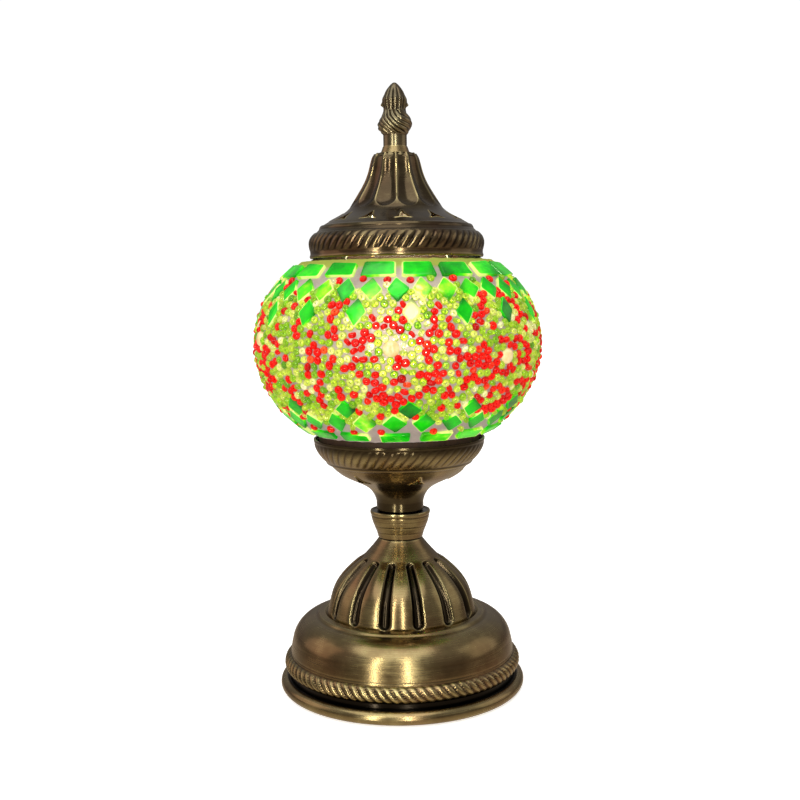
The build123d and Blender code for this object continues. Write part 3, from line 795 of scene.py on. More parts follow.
def make_collar():
    """The turned spool, with the bands that the tool left and a deep seam under it."""
    low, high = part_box("neck_collar")
    side = side_of("neck_collar", 150, 0.18 * MM)
    height = side[:, 1:]
    bands = np.zeros_like(height)
    for share, depth in ((0.02, 0.35), (0.22, 0.06), (0.42, 0.09), (0.60, 0.05), (0.74, 0.10)):
        bands -= depth * MM * hump(height, low.z + share * (high.z - low.z), 0.28 * MM)
    lip = np.argmax(side[:, 0])
    side, bands = side[:lip + 1], bands[:lip + 1]
    crest = side[-1]
    inner = np.array([
        [crest[0] - 0.15 * MM, crest[1] + 0.45 * MM], [crest[0] - 0.6 * MM, crest[1] + 0.55 * MM],
        [crest[0] - 1.3 * MM, crest[1] + 0.1 * MM], [10.1 * MM, high.z - 1.7 * MM],
        [5.1 * MM, high.z - 1.7 * MM], [5.1 * MM, low.z],
    ])
    # Painted shade inside the collar's mouth, where the cup's foot stands in it.
    painted_mouth_shade = [[0.3], [0.6], [0.95], [0.95], [0.95], [0.95]]  # at each of those points
    plain = np.ones((len(side) + len(inner), COLLAR_COLUMNS))
    relief = plain * np.concatenate([bands, np.zeros((len(inner), 1))])
    grid = spin(np.concatenate([side, inner]), relief, COLLAR_COLUMNS)
    piece = turned_ring("neck_collar_turned", grid, BRASS)
    # The turned bands darken as patination, and the deep seam at the foot as painted shade.
    give(piece, "patina_and_shade", plain * np.concatenate([np.clip(-bands / (0.3 * MM), 0, 1), painted_mouth_shade]))
    finish_piece(piece, "stand", "antique_brass", "neck_collar")


def make_cup():
    """The pierced cup that carries the globe, with a step and a ring of leaning strands under its lip."""
    low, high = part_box("lower_cup")
    side = side_of("lower_cup", 210, 0.25 * MM)
    height = side[:, 1:]
    strands = rope(height, high.z - 8.9 * MM, high.z - 1.6 * MM, CUP_STRANDS, -1.3, 0.42 * MM)
    step = 0.30 * MM * hump(height, high.z - 10.2 * MM, 0.45 * MM)
    lip = 0.25 * MM * smooth_step((height - high.z + 1.5 * MM) / (0.8 * MM))
    valley = smooth_step(-(strands + 0.02 * MM) / (0.12 * MM)) * 0.6
    # Painted shade: a dark band up to the lip, a darker foot where the cup sits in the collar, and a dark line
    # under the step.
    painted_lip_shade = 0.80 * smooth_step((height - high.z + 6.2 * MM) / (4.0 * MM))
    painted_foot_shade = 0.75 * smooth_step((low.z + 9.5 * MM - height) / (3.0 * MM))
    painted_step_shade = 0.8 * hump(height, high.z - 9.5 * MM, 0.35 * MM)
    paint = np.clip(np.maximum(np.maximum(valley, painted_lip_shade), painted_foot_shade) + painted_step_shade, 0, 0.95)
    edges = vent_edges(side, CUP_VENTS)
    relief = strands + step + lip + 0.30 * MM * edges
    # The vent edges are raised and brightened, partly as worn brass and partly as painted glint.
    piece = shell("lower_cup_shell", side, relief, BRASS, paint, rub_and_glint=0.7 * edges)
    pierce(piece, CUP_VENTS)
    finish_piece(piece, "stand", "antique_brass", "lower_cup")


# ---- the cap and the finial -----------------------------------------------------------------------------
def make_cap():
    """The tall cap: a rolled lip, leaning strands, a pierced skirt, and flutes up the cone."""
    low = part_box("top_cap")[0]
    side = side_of("top_cap", 250, 0.25 * MM)
    radius, height = side[:, :1], side[:, 1:]
    strands = rope(height, low.z + 2.9 * MM, low.z + 9.8 * MM, CAP_STRANDS, -1.2, 0.50 * MM)
    steps = steps_along(side)
    end, foot = np.interp([low.z + 20.2 * MM, low.z + 24.2 * MM], side[:, 1], steps[:, 0])
    pitch = TURN / CAP_FLUTES
    place = ((azimuths() - math.radians(1.5)) / pitch) % 1.0 - 0.5  # 0 in the middle of a flute
    half = np.maximum(pitch / 2 * radius - 0.15 * MM, 0.2 * MM)
    inside = (np.abs(place) * pitch * radius / half) ** 2 + (np.maximum(foot - steps, 0) / (foot - end)) ** 2
    depth = np.interp(steps, [end, foot, steps[-1, 0]], [1.30 * MM, 1.55 * MM, 0.70 * MM])
    flutes = depth * np.maximum(1 - inside, 0) ** 0.85
    shelf = 0.40 * MM * smooth_step((height - low.z - 10.2 * MM) / (0.5 * MM))
    shelf *= smooth_step((low.z + 12.4 * MM - height) / (0.6 * MM))
    shelf -= 0.35 * MM * hump(height, low.z + 12.9 * MM, 0.40 * MM)
    lip = 0.28 * MM * hump(height, low.z + 0.7 * MM, 0.55 * MM)
    valley = (strands != 0) * (0.35 + 0.55 * smooth_step((0.10 * MM - strands) / (0.25 * MM)))
    tray = smooth_step((flutes - 0.3 * MM) / (0.9 * MM)) * 0.5
    edges = vent_edges(side, CAP_VENTS)
    # Painted highlight along the flute ridges. The vent edges get worn brass and painted glint.
    ridge = hump((0.5 - np.abs(place)) * pitch * radius, 0, 0.45 * MM) * smooth_step((steps - end) / (6 * MM))
    relief = strands - flutes - shelf + lip + 0.22 * MM * edges
    rub_and_glint = np.maximum(0.7 * edges, 0.30 * ridge)
    piece = shell("top_cap_shell", side, relief, CAP_BRASS, np.maximum(valley, tray), top=3.3 * MM, rub_and_glint=rub_and_glint)
    pierce(piece, CAP_VENTS)
    finish_piece(piece, "cap", "antique_brass", "top_cap")


def make_washer():
    """The flared ring between the cap and the finial."""
    low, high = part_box("finial_washer")
    side = side_of("finial_washer", 40, 0.2 * MM)
    outline = np.concatenate([side, [[3.3 * MM, high.z], [3.3 * MM, low.z]]])
    piece = turned_ring("finial_washer_turned", spin(outline, columns=WASHER_COLUMNS), BRASS)
    finish_piece(piece, "finial_carrier", "antique_brass", "finial_washer")


def make_finial():
    """A cast bud: a plain neck, a swelling wrapped in swept leaves, a waist, and a ribbed pointed tip."""
    low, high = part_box("finial")
    side = side_of("finial", 260, 0.15 * MM)
    height = side[:, 1:]
    azimuth = azimuths(FINIAL_COLUMNS)
    swell_low, swell_high = low.z + 4.6 * MM, low.z + 15.4 * MM
    share = np.clip((height - swell_low) / (swell_high - swell_low), 0, 1)
    inside = smooth_step(share / 0.12) * smooth_step((1 - share) / 0.12)
    sweep = azimuth - 2.3 * (1 - share) ** 1.5 + 0.35 * np.sin(2 * azimuth + 1.0)
    leaves = 0.50 * MM * np.abs(np.sin(1.5 * sweep + 0.4)) ** 0.8
    ribs = 0.50 * MM * np.abs(np.sin(6 * sweep)) ** 0.8
    swell = (leaves + ribs - 0.65 * MM) * inside
    tip = np.clip((height - (swell_high - 1.2 * MM)) / (high.z - swell_high), 0, 1)
    on_tip = smooth_step(tip / 0.1) * smooth_step((1 - tip) / 0.3)
    blade = np.abs(np.sin(6 * azimuth + 0.9)) ** 0.8
    blades = 0.42 * MM * (blade - 0.5) * on_tip
    barbs = hump(height, swell_high + 1.5 * MM, 0.8 * MM) * np.maximum(np.cos(2 * azimuth + 2.9), 0) ** 4
    between_ribs = smooth_step((0.22 * MM - ribs) / (0.2 * MM)) * inside
    between_blades = smooth_step((0.45 - blade) / 0.4) * on_tip
    dark = 0.85 * np.maximum(between_ribs, between_blades)
    plain = np.zeros((1, FINIAL_COLUMNS))
    outline = np.concatenate([[[3.05 * MM, low.z]], side])
    relief = np.concatenate([plain, swell + blades + 0.95 * MM * barbs])
    piece = solid_of_revolution("finial_bud", outline, relief, FINIAL_BRASS, np.concatenate([plain, dark]))
    finish_piece(piece, "finial", "antique_brass", "finial")


# ---- the globe ------------------------------------------------------------------------------------------
def measure_globe():
    """The glass's widest radius and the height there, and its half heights above and below."""
    low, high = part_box("glass_globe")
    heights = np.linspace(low.z + 0.05 * MM, high.z - 0.05 * MM, 1200)
    radii = outer_radius("glass_globe", heights)
    radius = radii.max()
    middle = heights[radii > radius - 0.002 * MM].mean()
    rise = (heights[-1] - middle) / math.sqrt(1 - (radii[-1] / radius) ** 2)
    drop = (middle - heights[0]) / math.sqrt(1 - (radii[0] / radius) ** 2)
    return radius, middle, rise, drop


GLOBE_RADIUS, GLOBE_MIDDLE, GLOBE_RISE, GLOBE_DROP = measure_globe()


def on_globe(azimuth, latitude, offset):
    """Points at a distance outside the glass, and the directions out there. Both angles are in radians."""
    azimuth, latitude = np.broadcast_arrays(azimuth, latitude)
    half = np.where(latitude > 0, GLOBE_RISE, GLOBE_DROP)
    out_r, out_z = np.cos(latitude) / GLOBE_RADIUS, np.sin(latitude) / half
    length = np.hypot(out_r, out_z)
    out_r, out_z = out_r / length, out_z / length
    radius = GLOBE_RADIUS * np.cos(latitude) + offset * out_r
    height = GLOBE_MIDDLE + half * np.sin(latitude) + offset * out_z
    sine, cosine = np.sin(azimuth), np.cos(azimuth)
    place = np.stack([radius * sine, -radius * cosine, height], -1)
    out = np.stack([out_r * sine, -out_r * cosine, out_z], -1)
    return place, out


def place_on_globe(points, offset=0.0):
    """Azimuth and latitude, in radians, of points at about that distance outside the glass."""
    azimuth = np.arctan2(points[..., 0], -points[..., 1])
    foot = points
    for _ in range(3):
        above = foot[..., 2] - GLOBE_MIDDLE
        half = np.where(above > 0, GLOBE_RISE, GLOBE_DROP)
        latitude = np.arctan2(above / half, np.hypot(foot[..., 0], foot[..., 1]) / GLOBE_RADIUS)
        foot = points - on_globe(azimuth, latitude, offset)[1] * offset
    return azimuth, latitude


class Tile:
    """A flat piece of glass in the mosaic: its middle, its directions, and its corners in its own plane."""

    def __init__(self, points):
        self.middle = points.mean(0)
        azimuth, latitude = place_on_globe(self.middle)
        seat, out = on_globe(azimuth, latitude, 0.0)
        self.out = out
        self.side = np.array([math.cos(azimuth), math.sin(azimuth), 0.0])
        self.up = np.cross(self.out, self.side)
        self.origin = seat + self.out * TILE_TOP
        local = points - self.origin
        height = local @ self.out
        top = local[height > height.mean()]
        corners = np.stack([top @ self.side, top @ self.up], 1)
        order = np.argsort(np.arctan2(*(corners - corners.mean(0)).T[::-1]))
        self.corners = corners[order]

    def cut_by_hand(self):
        """Makes the tile slightly smaller and uneven, as a hand-cut one is."""
        middle = self.corners.mean(0)
        self.corners = middle + (self.corners - middle) * random.uniform(0.96, 1.03)
        self.corners += random.normal(0, 0.28 * MM, self.corners.shape)

    def gap(self, points):
        """How far outside the tile's outline points lie, in its plane. Inside it is negative."""
        local = points - self.origin
        flat = np.stack([local @ self.side, local @ self.up], -1)
        following = np.roll(self.corners, -1, axis=0)
        edge = following - self.corners
        outward = np.stack([edge[:, 1], -edge[:, 0]], 1)
        outward /= np.hypot(outward[:, 0], outward[:, 1])[:, None]
        reach = ((flat[..., None, :] - self.corners) * outward).sum(-1)
        worst = reach.argmax(-1)
        away = outward[worst][..., 0, None] * self.side + outward[worst][..., 1, None] * self.up
        return reach.max(-1), away


def outline_of_tile(corners, per_side=6, rounding=0.14):
    """A tile's outline with its corners taken off."""
    points = []
    for i, corner in enumerate(corners):
        following = corners[(i + 1) % len(corners)]
        for share in np.linspace(rounding / 2, 1 - rounding / 2, per_side):
            points.append(corner + (following - corner) * share)
    return np.array(points)


# Each ring's rim value sets how much painted highlight it takes along the tile's lighter side.
TILE_RINGS = (  # share of the outline's size, height above the tile's face in millimetres, and rim value
    (1.0, -2.0, 1.0), (1.0, -0.30, 1.0), (0.985, -0.10, 1.0), (0.95, -0.02, 1.0),
    (0.90, 0.0, 0.15), (0.80, 0.02, 0.0), (0.50, 0.05, 0.0), (0.20, 0.06, 0.0),
)


# The front tile of clearer glass gets the palest tint, which with the glow is also a painted highlight for the
# bulb behind it.
CLEAR_HIGHLIGHT_TILES = {"upper_points": (5.0,)}  # azimuths of the few tiles of clearer glass
LIME_TILES = {"upper_diamonds": (10.0, -33.0, 26.0, 120.0, 200.0), "lower_diamonds": (-20.0, 95.0, 210.0)}
DARK_TILES = {"lower_points": (4.8, 60.0, 170.0), "upper_points": (48.0, -100.0)}


def picked(tiles, azimuth_list):
    """The tiles nearest to those azimuths."""
    places = np.array([place_on_globe(tile.middle)[0] for tile in tiles])
    away = [np.abs((places - math.radians(degrees) + math.pi) % TURN - math.pi) for degrees in azimuth_list]
    return [tiles[distance.argmin()] for distance in away]


def make_tiles(name, node, darker):
    """One row of the mosaic's tiles, each bevelled, with its own tint, painted shade in one corner and a
    painted rim highlight.
    """
    tiles = [Tile(points) for points in solids_of(node)]
    clear, lime, dark = [picked(tiles, kind.get(node, ())) for kind in (CLEAR_HIGHLIGHT_TILES, LIME_TILES, DARK_TILES)]
    points, faces, tints, shades = [], [], [], []
    for tile in tiles:
        tile.cut_by_hand()
        outline = outline_of_tile(tile.corners)
        middle, count, base = outline.mean(0), len(outline), len(points)
        tint = np.clip(random.normal(0.50, 0.13), 0.2, 0.72)
        # The clearer tile's palest tint is partly a painted highlight for the bulb behind it.
        tint = 1.0 if tile in clear else 0.84 if tile in lime else 0.12 if tile in dark else tint
        lean = random.uniform(0, TURN)
        reach = np.abs(outline - middle).max()
        lift, tilt = random.normal(0, 0.06 * MM), random.normal(0, 0.02, 2)
        for share, height, rim in TILE_RINGS:
            for flat in middle + (outline - middle) * share:
                rise = height * MM + lift + (flat - middle) @ tilt
                points.append(tile.origin + tile.side * flat[0] + tile.up * flat[1] + tile.out * rise)
                # Painted shade towards one corner, and a painted highlight along the rim on the opposite side.
                slant = ((flat - middle) / reach) @ np.array([math.cos(lean), math.sin(lean)])
                shades.append(np.clip(darker * smooth_step((slant - 0.2) / 0.7), 0, 0.92))
                tints.append(tint + rim * np.clip(0.35 - 0.7 * slant, 0.0, 0.6))
        faces += (base + ring_faces(len(TILE_RINGS), count)).tolist()
        last = base + (len(TILE_RINGS) - 1) * count
        faces.append(list(range(last, last + count)))
        faces.append(list(range(base, base + count))[::-1])
    piece = mesh_object(name, points, faces, GREEN_GLASS, sharp=TILE_EDGE)
    give(piece, "tint", tints)
    give(piece, "shade", shades)
    finish_piece(piece, "globe", "green_tiles", node)
    return tiles


def first_places():
    """Rows of places for small beads over the bead field, shifted at random from row to row."""
    latitude, highest = np.radians(BEAD_FIELD)
    azimuth_list, latitude_list = [], []
    while latitude < highest:
        half = GLOBE_RISE if latitude > 0 else GLOBE_DROP
        around = TURN * (GLOBE_RADIUS * math.cos(latitude) + BEAD_SEAT)
        count = int(around / BEAD_PITCH)
        start = random.uniform(0, TURN)
        azimuth_list.append(start + np.arange(count) * TURN / count)
        latitude_list.append(np.full(count, latitude))
        latitude += ROW_PITCH / math.hypot(half * math.cos(latitude), GLOBE_RADIUS * math.sin(latitude))
    return np.concatenate(azimuth_list), np.concatenate(latitude_list)


def keep_clear_of(points, tiles, large):
    """For each point: how far it reaches into a tile or a large bead, and the direction out."""
    depth = np.zeros(len(points))
    away = np.zeros_like(points)
    for tile in tiles:
        near = np.linalg.norm(points - tile.origin, axis=1) < TILE_REACH
        if not near.any():
            continue
        gap, direction = tile.gap(points[near])
        into = 0.72 * BEAD_RADIUS - gap
        index = np.flatnonzero(near)
        worse = into > depth[index]
        depth[index[worse]] = into[worse]
        away[index[worse]] = direction[worse]
    for middle in large:
        offset = points - middle
        distance = np.linalg.norm(offset, axis=1)
        into = LARGE_BEAD_RADIUS + 0.85 * BEAD_RADIUS - distance
        worse = into > depth
        depth[worse] = into[worse]
        away[worse] = offset[worse] / distance[worse, None]
    return depth, away


def settle(azimuth, latitude, tiles, large):
    """Pushes overlapping beads apart and off the tiles, and leaves out those that find no room."""
    azimuth = azimuth + random.normal(0, BEAD_SHIFT / GLOBE_RADIUS, len(azimuth))
    latitude = latitude + random.normal(0, BEAD_SHIFT / GLOBE_RADIUS, len(latitude))
    points, _ = on_globe(azimuth, latitude, BEAD_SEAT)
    depth, _ = keep_clear_of(points, tiles, large)
    points = points[depth < 1.15 * BEAD_RADIUS]
    for _ in range(SETTLING_ROUNDS):
        depth, away = keep_clear_of(points, tiles, large)
        push = away * np.maximum(depth, 0)[:, None] * 0.6
        offset = points[:, None] - points[None]
        distance = np.sqrt((offset ** 2).sum(-1)) + np.eye(len(points))
        close = np.maximum(BEAD_SPACING - distance, 0)
        push += (offset / distance[..., None] * close[..., None]).sum(1) * 0.35
        azimuth, latitude = place_on_globe(points + push, BEAD_SEAT)
        points, _ = on_globe(azimuth, latitude, BEAD_SEAT)
    depth, _ = keep_clear_of(points, tiles, large)
    kept = []
    for i in np.argsort(depth):
        if depth[i] > 0.55 * BEAD_RADIUS:
            continue
        if kept and np.linalg.norm(points[kept] - points[i], axis=1).min() < 0.78 * BEAD_SPACING:
            continue
        kept.append(i)
    return place_on_globe(points[sorted(kept)], BEAD_SEAT)


def near_ring(azimuth, latitude, centre, radii, thickness):
    """True near an ellipse on the globe. Radii and thickness are in degrees."""
    across = np.degrees((azimuth - centre[0] + math.pi) % TURN - math.pi) / radii[0]
    up = (np.degrees(latitude) - centre[1]) / radii[1]
    return np.abs(np.hypot(across, up) - 1) * min(radii) < thickness, up


def red_pattern(azimuth, latitude, large):
    """Which small beads are red: rings and hanging arcs round the large beads, and double columns between."""
    degrees = np.degrees(latitude)
    red = np.zeros(len(azimuth), bool)
    centres = sorted(np.degrees(place_on_globe(np.array(large), BEAD_SEAT)).T.tolist())
    places = [centre[0] for centre in centres]
    for middle, level in centres:
        centre = (math.radians(middle), level + 1.5)
        inner, _ = near_ring(azimuth, latitude, centre, (13.5, 8.0), 1.9)
        arc_below, up = near_ring(azimuth, latitude, (centre[0], centre[1] - 2.0), (17.0, 15.5), 1.7)
        lower, up_low = near_ring(azimuth, latitude, (centre[0], centre[1] - 4.0), (13.0, 21.5), 2.0)
        red |= inner | (arc_below & (up < -0.25)) | (lower & (up_low < -0.72))
    for left, right in zip(places, places[1:] + [places[0] + 360]):
        middle = (left + right) / 2
        wave = middle + 3.0 * np.sin(np.radians(degrees) * 9 + middle) - 0.10 * degrees
        away = (np.degrees(azimuth) - wave + 180) % 360 - 180
        column = (np.abs(np.abs(away) - 2.6) < 1.7) & (degrees < 14) & (degrees > -24)
        shoulder = (np.abs(np.abs(away) - (7.5 + 0.35 * (degrees + 6))) < 1.6) & (degrees > 4)
        foot = (np.abs(np.abs(away) - (9.5 - 0.45 * (degrees + 14))) < 1.6) & (degrees < -14)
        red |= column | shoulder | foot
    chance = random.random(len(azimuth))
    return np.where(red, chance < 0.82, chance < 0.15)


def gap_beads(tiles_above, tiles_below, latitude, red_share, lime_share):
    """Single beads in the notches between two rows of tiles."""
    notches = sorted(place_on_globe(tile.middle)[0] for tile in tiles_below)
    azimuth, red = [], []
    for a, b in zip(notches, notches[1:] + [notches[0] + TURN]):
        chance = random.random()
        if chance < red_share + lime_share:
            azimuth.append((a + b) / 2 + random.normal(0, 0.012))
            red.append(chance < red_share)
    azimuth = np.array(azimuth)
    level = np.radians(latitude) + random.normal(0, 0.008, len(azimuth))
    points, _ = on_globe(azimuth, level, BEAD_SEAT)
    depth, _ = keep_clear_of(points, tiles_above + tiles_below, [])
    clear = depth < 0.75 * BEAD_RADIUS
    return azimuth[clear], level[clear], np.array(red)[clear]


BEAD_SECTION = 9
BEAD_ROUND = 16


def bead_template():
    """A seed bead round +Z: a plump ring with a fine hole."""
    major, minor, tall = 0.55, 0.45, 1.28
    points = []
    for i in range(BEAD_ROUND):
        turn = TURN * i / BEAD_ROUND
        for j in range(BEAD_SECTION):
            around = TURN * j / BEAD_SECTION
            radius = major + minor * math.cos(around)
            points.append((radius * math.cos(turn), radius * math.sin(turn), minor * tall * math.sin(around)))
    faces = ring_faces(BEAD_ROUND, BEAD_SECTION, closed=True)
    return np.array(points), faces[:, [0, 3, 2, 1]]  # turned over to face outward


def make_small_beads(name, azimuth, latitude, material, slot, *nodes):
    """Small glass beads on the globe. Most lie flat with their hole outward, and some lie on their side."""
    template, template_faces = bead_template()
    count = len(azimuth)
    seat, out = on_globe(azimuth, latitude, BEAD_SEAT)
    sideways = np.stack([np.cos(azimuth), np.sin(azimuth), 0 * azimuth], -1)
    up = np.cross(out, sideways)
    on_side = random.random(count) < 0.22
    lean = np.where(on_side, random.uniform(1.2, 1.9, count), np.abs(random.normal(0, 0.24, count)))
    facing = random.uniform(0, TURN, count)
    tilt = sideways * np.cos(facing)[:, None] + up * np.sin(facing)[:, None]
    axis = out * np.cos(lean)[:, None] + tilt * np.sin(lean)[:, None]
    first = np.cross(axis, sideways + 0.3 * up + 0.2 * out)
    first /= np.linalg.norm(first, axis=1)[:, None]
    second = np.cross(axis, first)
    size = BEAD_RADIUS * random.uniform(0.9, 1.06, count)
    squash = random.uniform(0.9, 1.1, count)
    frame_axes = np.stack([first * squash[:, None], second / squash[:, None], axis], 1) * size[:, None, None]
    points = seat[:, None] + np.einsum("ij,njk->nik", template, frame_axes)
    faces = (template_faces[None] + (np.arange(count) * len(template))[:, None, None]).reshape(-1, 4)
    piece = mesh_object(name, points, faces, material, sharp=BEVELLED_EDGE)
    tint = np.clip(random.normal(0.52, 0.20, count), 0, 1)
    give(piece, "tint", np.repeat(tint, len(template)))
    # Painted shade in each bead's hole and round its outer rim.
    radius = np.hypot(template[:, 0], template[:, 1])
    shade = 0.55 * smooth_step((0.32 - radius) / 0.2) + 0.45 * smooth_step((radius - 0.72) / 0.25)
    give(piece, "shade", np.tile(shade, count))
    finish_piece(piece, "globe", slot, *nodes)


def make_large_beads(middles):
    """The cream beads at the hearts of the flowers: flattened domes with a slightly wavy edge."""
    columns, rows = 40, 14
    points, faces = [], []
    for middle in middles:
        azimuth, latitude = place_on_globe(middle, BEAD_SEAT)
        seat, out = on_globe(azimuth, latitude, GROUT_DEPTH - 0.6 * MM)
        sideways = np.array([math.cos(azimuth), math.sin(azimuth), 0.0])
        up = np.cross(out, sideways)
        base = len(points)
        for i in range(rows):
            angle = math.radians(88 * i / (rows - 1))
            radius = LARGE_BEAD_RADIUS * math.cos(angle) ** 0.8
            height = 2.35 * MM * math.sin(angle) ** 0.9
            for j in range(columns):
                turn = TURN * j / columns
                wave = 1 + 0.025 * math.sin(3 * turn + middle[0] * 900)
                flat = sideways * math.cos(turn) + up * math.sin(turn)
                points.append(seat + flat * radius * wave + out * height)
        faces += (base + ring_faces(rows, columns)).tolist()
        last = base + (rows - 1) * columns
        faces.append(list(range(last, last + columns)))
        faces.append(list(range(base, base + columns))[::-1])
    piece = mesh_object("centre_pearls", points, faces, PEARL, sharp=SMOOTH)
    finish_piece(piece, "globe", "cream_beads", "centre_beads")


def waves(points, scale, seed):
    """A smooth random field in space, made of a few crossing waves, between about -1 and 1."""
    field = np.zeros(points.shape[:-1])
    source = np.random.default_rng(seed)
    for _ in range(9):
        direction = source.normal(size=3)
        direction *= source.uniform(0.5, 1.6) * TURN / scale / np.linalg.norm(direction)
        field += np.sin(points @ direction + source.uniform(0, TURN))
    return field / 3.5


def make_grout(tiles, beads, large):
    """The grout: an uneven layer on the glass, open under every tile and bead to let the light through."""
    low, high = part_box("grout_layer")
    low_latitude = -math.asin((GLOBE_MIDDLE - low.z + 0.2 * MM) / GLOBE_DROP)
    high_latitude = math.asin((high.z - GLOBE_MIDDLE + 1.4 * MM) / GLOBE_RISE)
    latitude = np.linspace(low_latitude, high_latitude, GROUT_ROWS)[:, None]
    azimuth = azimuths(GROUT_COLUMNS)
    place, _ = on_globe(azimuth, latitude, GROUT_DEPTH)
    uneven = 0.10 * MM * waves(place, 5 * MM, 5) + 0.06 * MM * waves(place, 2 * MM, 6)
    row = np.arange(GROUT_ROWS)[:, None]
    edge = np.minimum(row, row[::-1])
    depth = GROUT_DEPTH * np.minimum(1, 0.35 + 0.25 * edge) + uneven
    points, _ = on_globe(azimuth, latitude, depth)
    faces = ring_faces(GROUT_ROWS, GROUT_COLUMNS)
    flat = points.reshape(-1, 3)
    centres = flat[faces].mean(1)
    keep = np.ones(len(faces), bool)
    for tile in tiles:
        near = np.flatnonzero(np.linalg.norm(centres - tile.origin, axis=1) < TILE_REACH)
        gap, _ = tile.gap(centres[near])
        keep[near[gap < -0.75 * MM]] = False
    seats, _ = on_globe(beads[0], beads[1], GROUT_DEPTH)
    order = np.argsort(centres[:, 2])
    sorted_z = centres[order, 2]
    windows = [(seat, 0.62 * BEAD_RADIUS) for seat in seats]
    windows += [(middle, 0.7 * LARGE_BEAD_RADIUS) for middle in large]
    for seat, reach in windows:
        start, end = np.searchsorted(sorted_z, [seat[2] - reach - MM, seat[2] + reach + MM])
        index = order[start:end]
        keep[index[np.linalg.norm(centres[index] - seat, axis=1) < reach]] = False
    faces = faces[keep]
    used = np.unique(faces)
    renumber = np.full(len(flat), -1)
    renumber[used] = np.arange(len(used))
    piece = mesh_object("mosaic_grout", flat[used], renumber[faces], GROUT, sharp=BEVELLED_EDGE)
    thick = piece.modifiers.new("thickness", "SOLIDIFY")
    thick.thickness = 0.85 * MM
    thick.offset = -1
    finish_piece(piece, "globe", "grout", "grout_layer")


def make_glass():
    """The blown glass itself, cut flat at both mouths."""
    low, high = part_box("glass_globe")
    start = -math.asin((GLOBE_MIDDLE - low.z) / GLOBE_DROP)
    end = math.asin((high.z - GLOBE_MIDDLE) / GLOBE_RISE)
    outer, _ = on_globe(azimuths(GLASS_COLUMNS), np.linspace(start, end, GLASS_ROWS)[:, None], 0.0)
    rise, drop = GLOBE_RISE - GLASS_WALL, GLOBE_DROP - GLASS_WALL
    start = -math.asin((GLOBE_MIDDLE - low.z) / drop)
    end = math.asin((high.z - GLOBE_MIDDLE) / rise)
    inside = np.linspace(end, start, GLASS_ROWS)[:, None]
    radius = (GLOBE_RADIUS - GLASS_WALL) * np.cos(inside) + np.zeros(GLASS_COLUMNS)
    inner = round_axis(radius, GLOBE_MIDDLE + np.where(inside > 0, rise, drop) * np.sin(inside))
    piece = turned_ring("globe_glass", np.concatenate([outer, inner]), CLEAR_GLASS)
    finish_piece(piece, "globe", "clear_glass", "glass_globe")


TILE_ROWS = (  # piece, CAD node, and how dark a tile's darker corner is
    ("mosaic_top_rim", "top_rim_tiles", 0.55),
    ("mosaic_upper_diamonds", "upper_diamonds", 0.6),
    ("mosaic_upper_points", "upper_points", 0.8),
    ("mosaic_lower_points", "lower_points", 0.95),
    ("mosaic_lower_diamonds", "lower_diamonds", 0.7),
    ("mosaic_bottom_rim", "bottom_rim_tiles", 0.5),
)


def make_mosaic():
    """Every tile, bead and the grout between them."""
    rows = {node: make_tiles(name, node, darker) for name, node, darker in TILE_ROWS}
    tiles = [tile for row in rows.values() for tile in row]
    large = [points.mean(0) for points in solids_of("centre_beads")]
    large = [on_globe(*place_on_globe(middle), BEAD_SEAT)[0] for middle in large]
    azimuth, latitude = settle(*first_places(), tiles, large)
    red = red_pattern(azimuth, latitude, large)
    for above, below, level, red_share, lime_share in (
        ("top_rim_tiles", "upper_diamonds", 34.2, 0.52, 0.3),
        ("bottom_rim_tiles", "lower_diamonds", -42.6, 0.40, 0.2),
    ):
        more = gap_beads(rows[above], rows[below], level, red_share, lime_share)
        azimuth, latitude, red = [np.concatenate(pair) for pair in zip((azimuth, latitude, red), more)]
    reds, limes = (azimuth[red], latitude[red]), (azimuth[~red], latitude[~red])
    make_small_beads("mosaic_red_beads", *reds, RED_GLASS, "red_beads")
    make_small_beads("mosaic_lime_beads", *limes, LIME_GLASS, "lime_beads", "bead_layer")
    make_large_beads(large)
    make_grout(tiles, (azimuth, latitude), large)


# ---- what stays from the frame --------------------------------------------------------------------------
CAD_FINISHES = {
    "cord_grommet": RUBBER,
    "lamp_pipe": ZINC,
    "base_washer": ZINC,
    "pipe_nuts": ZINC,
    "seat_ring": BROWN_RUBBER,
    "harp": ZINC,
    "finial_stud": ZINC,
    "stud_nuts": ZINC,
    "socket_body": PHENOLIC,
    "screw_shell": SOCKET_BRASS,
    "socket_contact": SOCKET_BRASS,
    "terminal_screws": SOCKET_BRASS,
    "bulb_contact": SOLDER,
    "bulb_insulator": PHENOLIC,
    "bulb_base": BULB_METAL,
    "bulb_glass": BULB_GLASS,
    "bulb_stem": CLEAR_GLASS,
    "bulb_filaments": FILAMENT,
    "cap_seal": BROWN_RUBBER,
}


def refinish_cad_nodes():
    """Gives the CAD nodes that stay visible their materials."""
    for node, material in CAD_FINISHES.items():
        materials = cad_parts[node].data.materials
        materials.clear()
        materials.append(material)


# ---- the studio -----------------------------------------------------------------------------------------
CAMERA_DISTANCE = 0.4641
CAMERA_PITCH = 5.685  # degrees down
CAMERA_AIM = 0.1221  # height on the axis that the camera looks at
CAMERA_ROLL = 0.78
CAMERA_ASIDE = 0.0012
CAMERA_LENS = 49.7


def make_camera():
    data = bpy.data.cameras.new("camera")
    data.lens = CAMERA_LENS
    data.clip_start, data.clip_end = 0.01, 20
    camera = new_object("camera", data)
    pitch = math.radians(CAMERA_PITCH)
    ahead, above = CAMERA_DISTANCE * math.cos(pitch), CAMERA_DISTANCE * math.sin(pitch)
    camera.location = (CAMERA_ASIDE, -ahead, CAMERA_AIM + above)
    camera.rotation_euler = (math.pi / 2 - pitch, math.radians(CAMERA_ROLL), 0)
    bpy.context.scene.camera = camera


